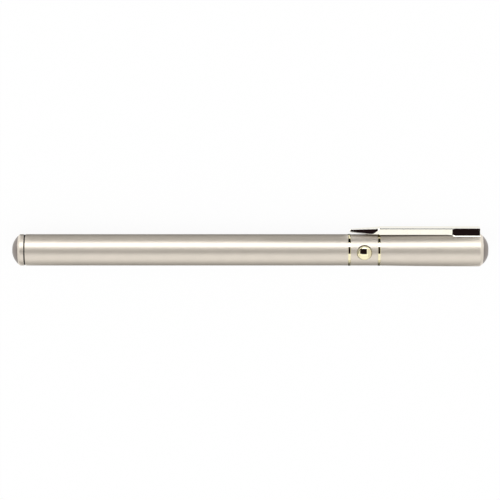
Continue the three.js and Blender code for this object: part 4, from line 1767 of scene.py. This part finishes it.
    def make(self) -> None:
        """Lofts the clip along the pen, as one piece between the housing and the arm."""
        flex = self.axes.span("clip_arm")[1]
        table = self.table()
        along = table[:, 0]
        channel = ((along > self.channel_start) & (along < flex)).astype(float)
        seat = np.clip((along - flex + self.seat_before) / self.seat_length, 0, 1)
        corners = self.sections(table, channel, seat)
        outline, edge = rounded(corners, self.radii(along), self.steps)
        places = np.broadcast_to(table[:, :1], outline.shape[:2])
        grid = np.concatenate([places[..., None], outline], axis=-1)
        skin = Skin(self.axes).grid(grid, np.broadcast_to(edge, grid.shape[:2]), loop_columns=True)
        for end in (grid[0], grid[-1]):
            middle = end.mean(axis=0, keepdims=True)
            shrink = np.linspace(1, 0, self.end_rings)[:, None, None]
            skin.grid(middle + shrink * (end[None] - middle), loop_columns=True)
        # The clip's gold is paled by a painted highlight
        bend, gold = (flex + self.bend_beyond, flex - self.bend_before), self.finishes.clip_gold_painted_glare
        self.shop.keep_bending(
            skin, "pocket_clip", ("housing", "clip_arm"), bend, gold, "clip_root", "clip_arm"
        )


@dataclass
class PowerTrain(Assembly):
    """Cells, their springs and the contact in front of them."""

    cell_bevel: float = 0.4
    nub_radius: float = 1.6
    nub_length: float = 0.8
    nub_round: float = 0.2
    nub_foot_round: float = 0.1
    contact_round: float = 0.1
    wire_radius: float = 0.25
    front_radii: tuple[float, float] = (2.6, 2.6)
    front_turns: float = 3
    tail_radii: tuple[float, float] = (2.55, 1.1)
    tail_turns: float = 6

    def make_cells(self) -> None:
        """Two cells: can, shrunk film shoulder and nub."""
        for node in ("rear_cell", "front_cell"):
            start, end = self.axes.span(node)
            radius = self.axes.radius(node)
            body = start + self.nub_length
            outline = (
                Outline()
                .corner(start, 0.0)
                .corner(start, self.nub_radius, self.nub_round)
                .corner(body, self.nub_radius, self.nub_foot_round)
                .corner(body, radius, self.cell_bevel)
                .corner(end, radius, self.cell_bevel)
                .corner(end, 0.0)
            )
            self.shop.turned_piece(outline, node, "housing", self.finishes.jacket)

    def spring(self, node: str, radii: tuple[float, float], turns: float) -> tuple[Skin, float, float]:
        """A spring in the place of a CAD node.

        Args:
            node: The node's name.
            radii: Distance of the wire's middle from the axis at the start and at the end.
            turns: Number of turns.

        Returns:
            Its skin, and where the wire's middle starts and ends along the pen.
        """
        start, end = self.axes.span(node)
        start, end = start + self.wire_radius, end - self.wire_radius
        grid = coil(start, end, radii, turns, self.wire_radius)
        return Skin(self.axes).grid(grid, loop_columns=True), start, end

    def make_springs(self) -> None:
        """Short front spring, and tapered tail spring that reaches from the cell to the cap."""
        steel = self.finishes.steel
        skin = self.spring("front_contact_spring", self.front_radii, self.front_turns)[0]
        self.shop.keep(skin, "front_contact_spring_smooth", "housing", steel, "front_contact_spring")
        skin, seat, tip = self.spring("tail_spring", self.tail_radii, self.tail_turns)
        bodies, name = ("housing", "tail_slider"), "tail_spring"
        self.shop.keep_bending(skin, f"{name}_smooth", bodies, (tip, seat), steel, name)

    def make(self) -> None:
        """Makes the cells, the springs and the contact's turned disc."""
        self.make_cells()
        self.make_springs()
        start, end = self.axes.span("front_contact")
        radius = self.axes.radius("front_contact")
        disc = (
            Outline()
            .corner(start, 0.0)
            .corner(start, radius, self.contact_round)
            .corner(end, radius, self.contact_round)
            .corner(end, 0.0)
        )
        self.shop.turned_piece(disc, "front_contact", "housing", self.finishes.brass)


@dataclass
class LaserModule(Assembly):
    """Brass module housing with the lens holder and the lens."""

    rear_bore: float = 2.85
    front_bore: float = 3.3
    window: float = 2.35
    flange_front: float = 133.45
    lens_bore_start: float = 136.45
    lens_lip: float = 0.6
    lens_seat: float = 2.5
    aperture_radius: float = 1.25
    lens_edge: float = 0.9
    lens_bulge: float = 0.9
    outer_round: float = 0.15
    bore_round: float = 0.08
    holder_round: float = 0.1
    lens_round: float = 0.05
    lens_steps: int = 23

    def make_housing(self) -> None:
        """Housing: wide rear bore for the diode, window and front bore for the lens."""
        start, end = self.axes.span("module_housing")
        outer = self.shop.insert_radius
        window_start = self.flange_front + self.shop.seat_gap
        housing = (
            Outline()
            .corner(start, self.rear_bore, self.bore_round)
            .corner(start, outer, self.outer_round)
            .corner(end, outer, self.outer_round)
            .corner(end, self.front_bore, self.bore_round)
            .corner(self.lens_bore_start, self.front_bore)
            .corner(self.lens_bore_start, self.window)
            .corner(window_start, self.window)
            .corner(window_start, self.rear_bore)
        )
        self.shop.turned_piece(housing, "module_housing", "housing", self.finishes.brass)

    def make_holder(self) -> None:
        """Holder: ring round the lens with a lip in front of it."""
        start, end = self.axes.span("lens_holder")
        radius = self.axes.radius("lens_holder")
        lip = end - self.lens_lip
        holder = (
            Outline()
            .corner(start, self.lens_seat)
            .corner(start, radius, self.holder_round)
            .corner(end, radius, self.holder_round)
            .corner(end, self.aperture_radius, self.bore_round)
            .corner(lip, self.lens_seat - self.lens_lip)
            .corner(lip, self.lens_seat)
        )
        self.shop.turned_piece(holder, "lens_holder", "housing", self.finishes.brass)

    def make_lens(self) -> None:
        """Lens: flat in front, and a bulge behind whose depth is the root of 1 less the share squared."""
        end = self.axes.span("collimating_lens")[1]
        radius = self.axes.radius("collimating_lens")
        share = np.linspace(0, 1, self.lens_steps + 1)
        depth = self.lens_bulge * np.sqrt(1 - share**2)
        bulge = np.stack([end - self.lens_edge - depth, radius * share], axis=-1)
        lens = Outline().curve(bulge).corner(end, radius, self.lens_round).corner(end, 0.0)
        self.shop.turned_piece(lens, "collimating_lens", "housing", self.finishes.glass)

    def make(self) -> None:
        """Makes the housing, the holder and the lens."""
        self.make_housing()
        self.make_holder()
        self.make_lens()


class InnerParts:
    """CAD nodes whose shapes stay as they are and only get their finish."""

    def __init__(self, shop: Workshop, nodes: dict[str, bpy.types.Object]) -> None:
        """Pairs each node with its finish.

        Args:
            shop: The workshop.
            nodes: The frame's CAD nodes by name.
        """
        finishes = shop.finishes
        self.shop = shop
        self.nodes = nodes
        self.finish_of = {
            "inner_sleeve": finishes.brass,
            "board_cradle": finishes.plastic,
            "switch_base": finishes.plastic,
            "switch_cover": finishes.tin,
            "switch_plunger": finishes.plastic,
            "circuit_board": finishes.laminate,
            "driver_transistor": finishes.resin,
            "current_resistor": finishes.resin,
            "smoothing_capacitor": finishes.ceramic,
            "power_trimmer": finishes.trimmer,
            "laser_diode": finishes.tin,
            "lens_spring": finishes.steel,
        }
        self.finish_of.update({f"switch_terminal_{number}": finishes.tin for number in range(1, 5)})

    def make(self) -> None:
        """Dresses every node that no piece stands for."""
        for name, node in self.nodes.items():
            if node.hide_render:
                continue
            self.shop.finishes.dress(node, self.finish_of[name])
            log.info("%s: dressed", name)


class Stretch(Enum):
    """Where a strip lies along the pen."""

    WHOLE = "whole"
    BEFORE_CLIP = "before_clip"
    BESIDE_CLIP = "beside_clip"
    CLIP_TIP = "clip_tip"
    WIDE = "wide"


@dataclass(frozen=True)
class Strip:
    """Flat strip along the pen, with its two lines as distance beyond the pen's axis and height."""

    name: str
    near: tuple[float, float]
    far: tuple[float, float]
    level: Colour
    stretch: Stretch = Stretch.WHOLE
    later: float = 1.0


@dataclass(frozen=True)
class Card:
    """Curved card about the pen's axis, between two angles in degrees."""

    name: str
    angles: tuple[float, float]
    level: Colour
    distance: float = 0.5
    half_length: float = 0.5
    middle: float = 0.0


@dataclass
class Studio:
    """Pale floor, even white surroundings, reflecting cards and the camera of the photograph.

    Its sizes are in metres. Angles of the cards are measured about the pen's axis, from the camera's
    direction towards the top of the picture. Cards and strips show in shiny surfaces only.
    """

    axes: PenAxes
    camera_distance: float = 0.95
    half_frame: float = 0.0799
    aim: tuple[float, float] = (-0.00008, -0.000045)
    sensor_width: float = 36.0
    clip_range: tuple[float, float] = (0.01, 20.0)
    view_height: float = 0.7640
    floor_size: float = 6.0
    floor_white: Colour = (0.98, 0.98, 0.98)
    floor_glow: float = 0.93
    card_step: float = 4.0
    strip_reach: float = 0.074
    wide_reach: float = 0.3
    tip_before: float = 0.026
    tip_beyond: float = 0.04
    clip_margin: float = 0.001
    end_distance: float = 0.45
    end_half: float = 0.5
    end_height: float = 0.7
    end_level: Colour = (0.8, 0.79, 0.78)
    first_rays: float = 1.5

    # Dark by the camera, light beside it, and grey in three shades far off
    cards = (
        Card("dark_card", (-29, 22), (0.012, 0.0068, 0.0078), 0.37, 0.2235, -0.033),
        Card("cheek_card", (-44, -30), (1.1, 1.1, 1.1), 0.6),
        Card("far_card_0", (-102, -82), scaled((1, 0.98, 0.95), 0.68)),
        Card("far_card_1", (-114, -102), scaled((1, 0.98, 0.95), 0.34)),
        Card("far_card_2", (-131, -114), scaled((1, 0.98, 0.95), 0.12)),
    )

    # Close under the pen and on the near side, painted shade: grey strips that stand in for the floor's
    # shadow where it shows in reflections, and a clear one beside the clip; then black and bright, and grey
    # behind the pen
    strips = (
        Strip("under_shade_strip", (-0.004, 0.00003), (0.005, 0.00003), (0.1, 0.1, 0.1)),
        Strip("shade_strip", (0.005, 0.00003), (0.0064, 0.00003), (0.12, 0.12, 0.12), Stretch.BEFORE_CLIP),
        Strip("pale_shade_strip", (0.0064, 0.00003), (0.0105, 0.00003), (0.28, 0.275, 0.27), Stretch.BEFORE_CLIP),
        Strip("clear_strip", (0.005, 0.00003), (0.0105, 0.00003), (0.92, 0.92, 0.92), Stretch.BESIDE_CLIP),
        Strip("black_strip", (0.0112, 0.00005), (0.071, 0.00005), (0.005, 0.005, 0.005), Stretch.CLIP_TIP),
        Strip("dim_strip", (0.0112, 0.00004), (0.032, 0.00004), (0.15, 0.15, 0.15)),
        Strip("bright_card", (0.16, 0.012), (0.3, 0.158), (3.4, 3.4, 3.4), Stretch.WIDE, 0.12),
        Strip("grey_strip", (-0.6, 0.00005), (-0.012, 0.00005), (0.1, 0.097, 0.094)),
    )

    @property
    def towards_camera(self) -> Vector:
        """Unit vector from the pen to the camera."""
        return Vector((0.0, math.sqrt(1 - self.view_height**2), self.view_height))

    @property
    def picture_up(self) -> Vector:
        """Unit vector towards the top of the picture, which lies on the near side of the table."""
        return Vector((0.0, self.view_height, -math.sqrt(1 - self.view_height**2)))

    @property
    def target(self) -> Vector:
        """Point on the pen's axis over the middle of the frame."""
        return Vector((0.0, self.axes.origin[1], self.axes.origin[2]))

    def make_camera(self) -> None:
        """Camera at the photograph's angle, far enough off for its nearly parallel lines."""
        data = bpy.data.cameras.new("photo_camera")
        data.sensor_width = self.sensor_width
        data.lens = self.camera_distance * self.sensor_width / 2 / self.half_frame
        data.clip_start, data.clip_end = self.clip_range
        camera = bpy.data.objects.new("photo_camera", data)
        bpy.context.scene.collection.objects.link(camera)
        turn = Matrix((Vector((1, 0, 0)), self.picture_up, self.towards_camera)).transposed()
        middle = self.target + self.aim[0] * Vector((1, 0, 0)) + self.aim[1] * self.picture_up
        place = Matrix.Translation(middle + self.camera_distance * self.towards_camera)
        camera.matrix_world = place @ turn.to_4x4()
        bpy.context.scene.camera = camera

    def make_world(self) -> None:
        """Even white surroundings at strength 1, at which a colour renders about as written."""
        world = bpy.data.worlds.new("white_room")
        bpy.context.scene.world = world
        world.use_nodes = True
        background = world.node_tree.nodes["Background"]
        background.inputs["Color"].default_value = (1, 1, 1, 1)
        background.inputs["Strength"].default_value = 1.0

    def make_floor(self) -> None:
        """Plain white table top, which keeps the pen's soft shadow."""
        mesh = bpy.data.meshes.new("table_top")
        half = self.floor_size / 2
        corners = np.array([[-half, -half, 0], [half, -half, 0], [half, half, 0], [-half, half, 0]])
        mesh.from_pydata(corners.tolist(), [], [(0, 1, 2, 3)])
        floor = bpy.data.objects.new("table_top", mesh)
        bpy.context.scene.collection.objects.link(floor)
        board = NodeBoard("table_top")
        matt = board.add("BsdfDiffuse", {"Color": (*self.floor_white, 1)})
        white = board.add("Emission", {"Strength": 1.0})
        rays = board.add("LightPath").outputs
        seen = board.reckon("ADD", rays["Is Camera Ray"], rays["Is Glossy Ray"])
        seen = board.reckon("ADD", seen, rays["Is Transmission Ray"])
        share = board.reckon("MULTIPLY", seen, self.floor_glow, clamp=True)
        board.show(board.add("MixShader", {0: share, 1: matt.outputs[0], 2: white.outputs[0]}))
        mesh.materials.append(board.material)

    def direction(self, degrees: float) -> np.ndarray:
        """Unit vector at an angle about the pen from the camera towards the top of the picture."""
        angle = math.radians(degrees)
        return np.array(self.towards_camera) * math.cos(angle) + np.array(self.picture_up) * math.sin(angle)

    def card(self, card: Card) -> None:
        """Makes a curved card.

        Its points are the target plus the distance times the direction at each angle, carried half
        its length to both sides of its middle along the pen.

        Args:
            card: The card's sizes.
        """
        steps = max(2, round(abs(card.angles[1] - card.angles[0]) / self.card_step) + 1)
        arc = np.stack([self.direction(angle) for angle in np.linspace(*card.angles, steps)])
        middle, half = card.middle, card.half_length
        ends = np.array([[middle - half, 0, 0], [middle + half, 0, 0]])
        points = np.array(self.target) + card.distance * arc
        self.sheet(card.name, points[:, None] + ends[None], card.level)

    def sheet(self, name: str, grid: np.ndarray, level: Colour, later: float = 1.0) -> None:
        """Glowing sheet through a grid of points, left out of everything but reflections.

        Args:
            name: The sheet's name.
            grid: Rows of two points.
            level: Colour that it shows.
            later: Share of it that shows in reflections of reflections, beyond the first rays' depth.
        """
        rows = len(grid)
        mesh = bpy.data.meshes.new(name)
        faces = [(2 * row, 2 * row + 1, 2 * row + 3, 2 * row + 2) for row in range(rows - 1)]
        mesh.from_pydata(grid.reshape(-1, 3).tolist(), [], faces)
        board = NodeBoard(name)
        glow = board.add("Emission", {"Color": (*level, 1)})
        if later < 1:
            depth = board.add("LightPath").outputs["Ray Depth"]
            again = board.reckon("GREATER_THAN", depth, self.first_rays)
            board.feed(glow.inputs["Strength"], board.reckon("MULTIPLY_ADD", again, later - 1, 1.0))
        board.show(glow)
        mesh.materials.append(board.material)
        sheet = bpy.data.objects.new(name, mesh)
        bpy.context.scene.collection.objects.link(sheet)
        for ray in ("camera", "diffuse", "transmission", "volume_scatter", "shadow"):
            setattr(sheet, f"visible_{ray}", False)

    def stretches(self) -> dict[Stretch, tuple[float, float]]:
        """Reads where the clip starts.

        Returns:
            Where each kind of strip starts and ends along the pen.
        """
        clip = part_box("clip_arm")[0].x - self.clip_margin
        return {
            Stretch.WHOLE: (-self.strip_reach, self.strip_reach),
            Stretch.BEFORE_CLIP: (-self.strip_reach, clip),
            Stretch.BESIDE_CLIP: (clip, self.strip_reach),
            Stretch.CLIP_TIP: (clip - self.tip_before, clip + self.tip_beyond),
            Stretch.WIDE: (-self.wide_reach, self.wide_reach),
        }

    def strip(self, strip: Strip, ends: tuple[float, float]) -> None:
        """Makes a strip.

        Args:
            strip: The strip's sizes.
            ends: Where it starts and ends along the pen.
        """
        lines = np.array([[0.0, self.target.y + away, height] for away, height in (strip.near, strip.far)])
        across = np.array([[place, 0, 0] for place in ends])
        self.sheet(strip.name, lines[:, None] + across[None], strip.level, strip.later)

    def end_card(self, name: str, side: float) -> None:
        """Makes an upright grey card beyond one end of the pen.

        Args:
            name: The card's name.
            side: 1 for the nose's end, -1 for the tail's.
        """
        place = side * self.end_distance
        sides, heights = (-self.end_half, self.end_half), (0.0, self.end_height)
        grid = np.array([[[place, across, height] for across in sides] for height in heights])
        self.sheet(name, grid, self.end_level)

    def make_cards(self) -> None:
        """Makes all that shiny surfaces show."""
        for card in self.cards:
            self.card(card)
        ends = self.stretches()
        for strip in self.strips:
            self.strip(strip, ends[strip.stretch])
        self.end_card("tail_end_card", -1.0)
        self.end_card("nose_end_card", 1.0)

    def make(self) -> None:
        """Makes the whole studio."""
        self.make_camera()
        self.make_world()
        self.make_floor()
        self.make_cards()
        bpy.context.scene.view_settings.view_transform = "Standard"


def main() -> None:
    """Builds the studio and every sub-assembly."""
    logging.basicConfig(level=logging.INFO, format="%(message)s")
    for left_over in list(bpy.data.objects):
        bpy.data.objects.remove(left_over)
    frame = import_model()
    axes = PenAxes.from_frame(frame["joints"])
    shop = Workshop(axes, Finishes(axes))
    Studio(axes).make()
    outside = (TailCap, Barrel, GoldRings, SwitchCollar, Button, CapTube, Nose, PocketClip)
    for assembly in (*outside, SnapDome, PowerTrain, LaserModule):
        assembly(shop).make()
        log.info("%s is ready", assembly.__name__)
    InnerParts(shop, frame["nodes"]).make()


if __name__ == "__main__":
    main()
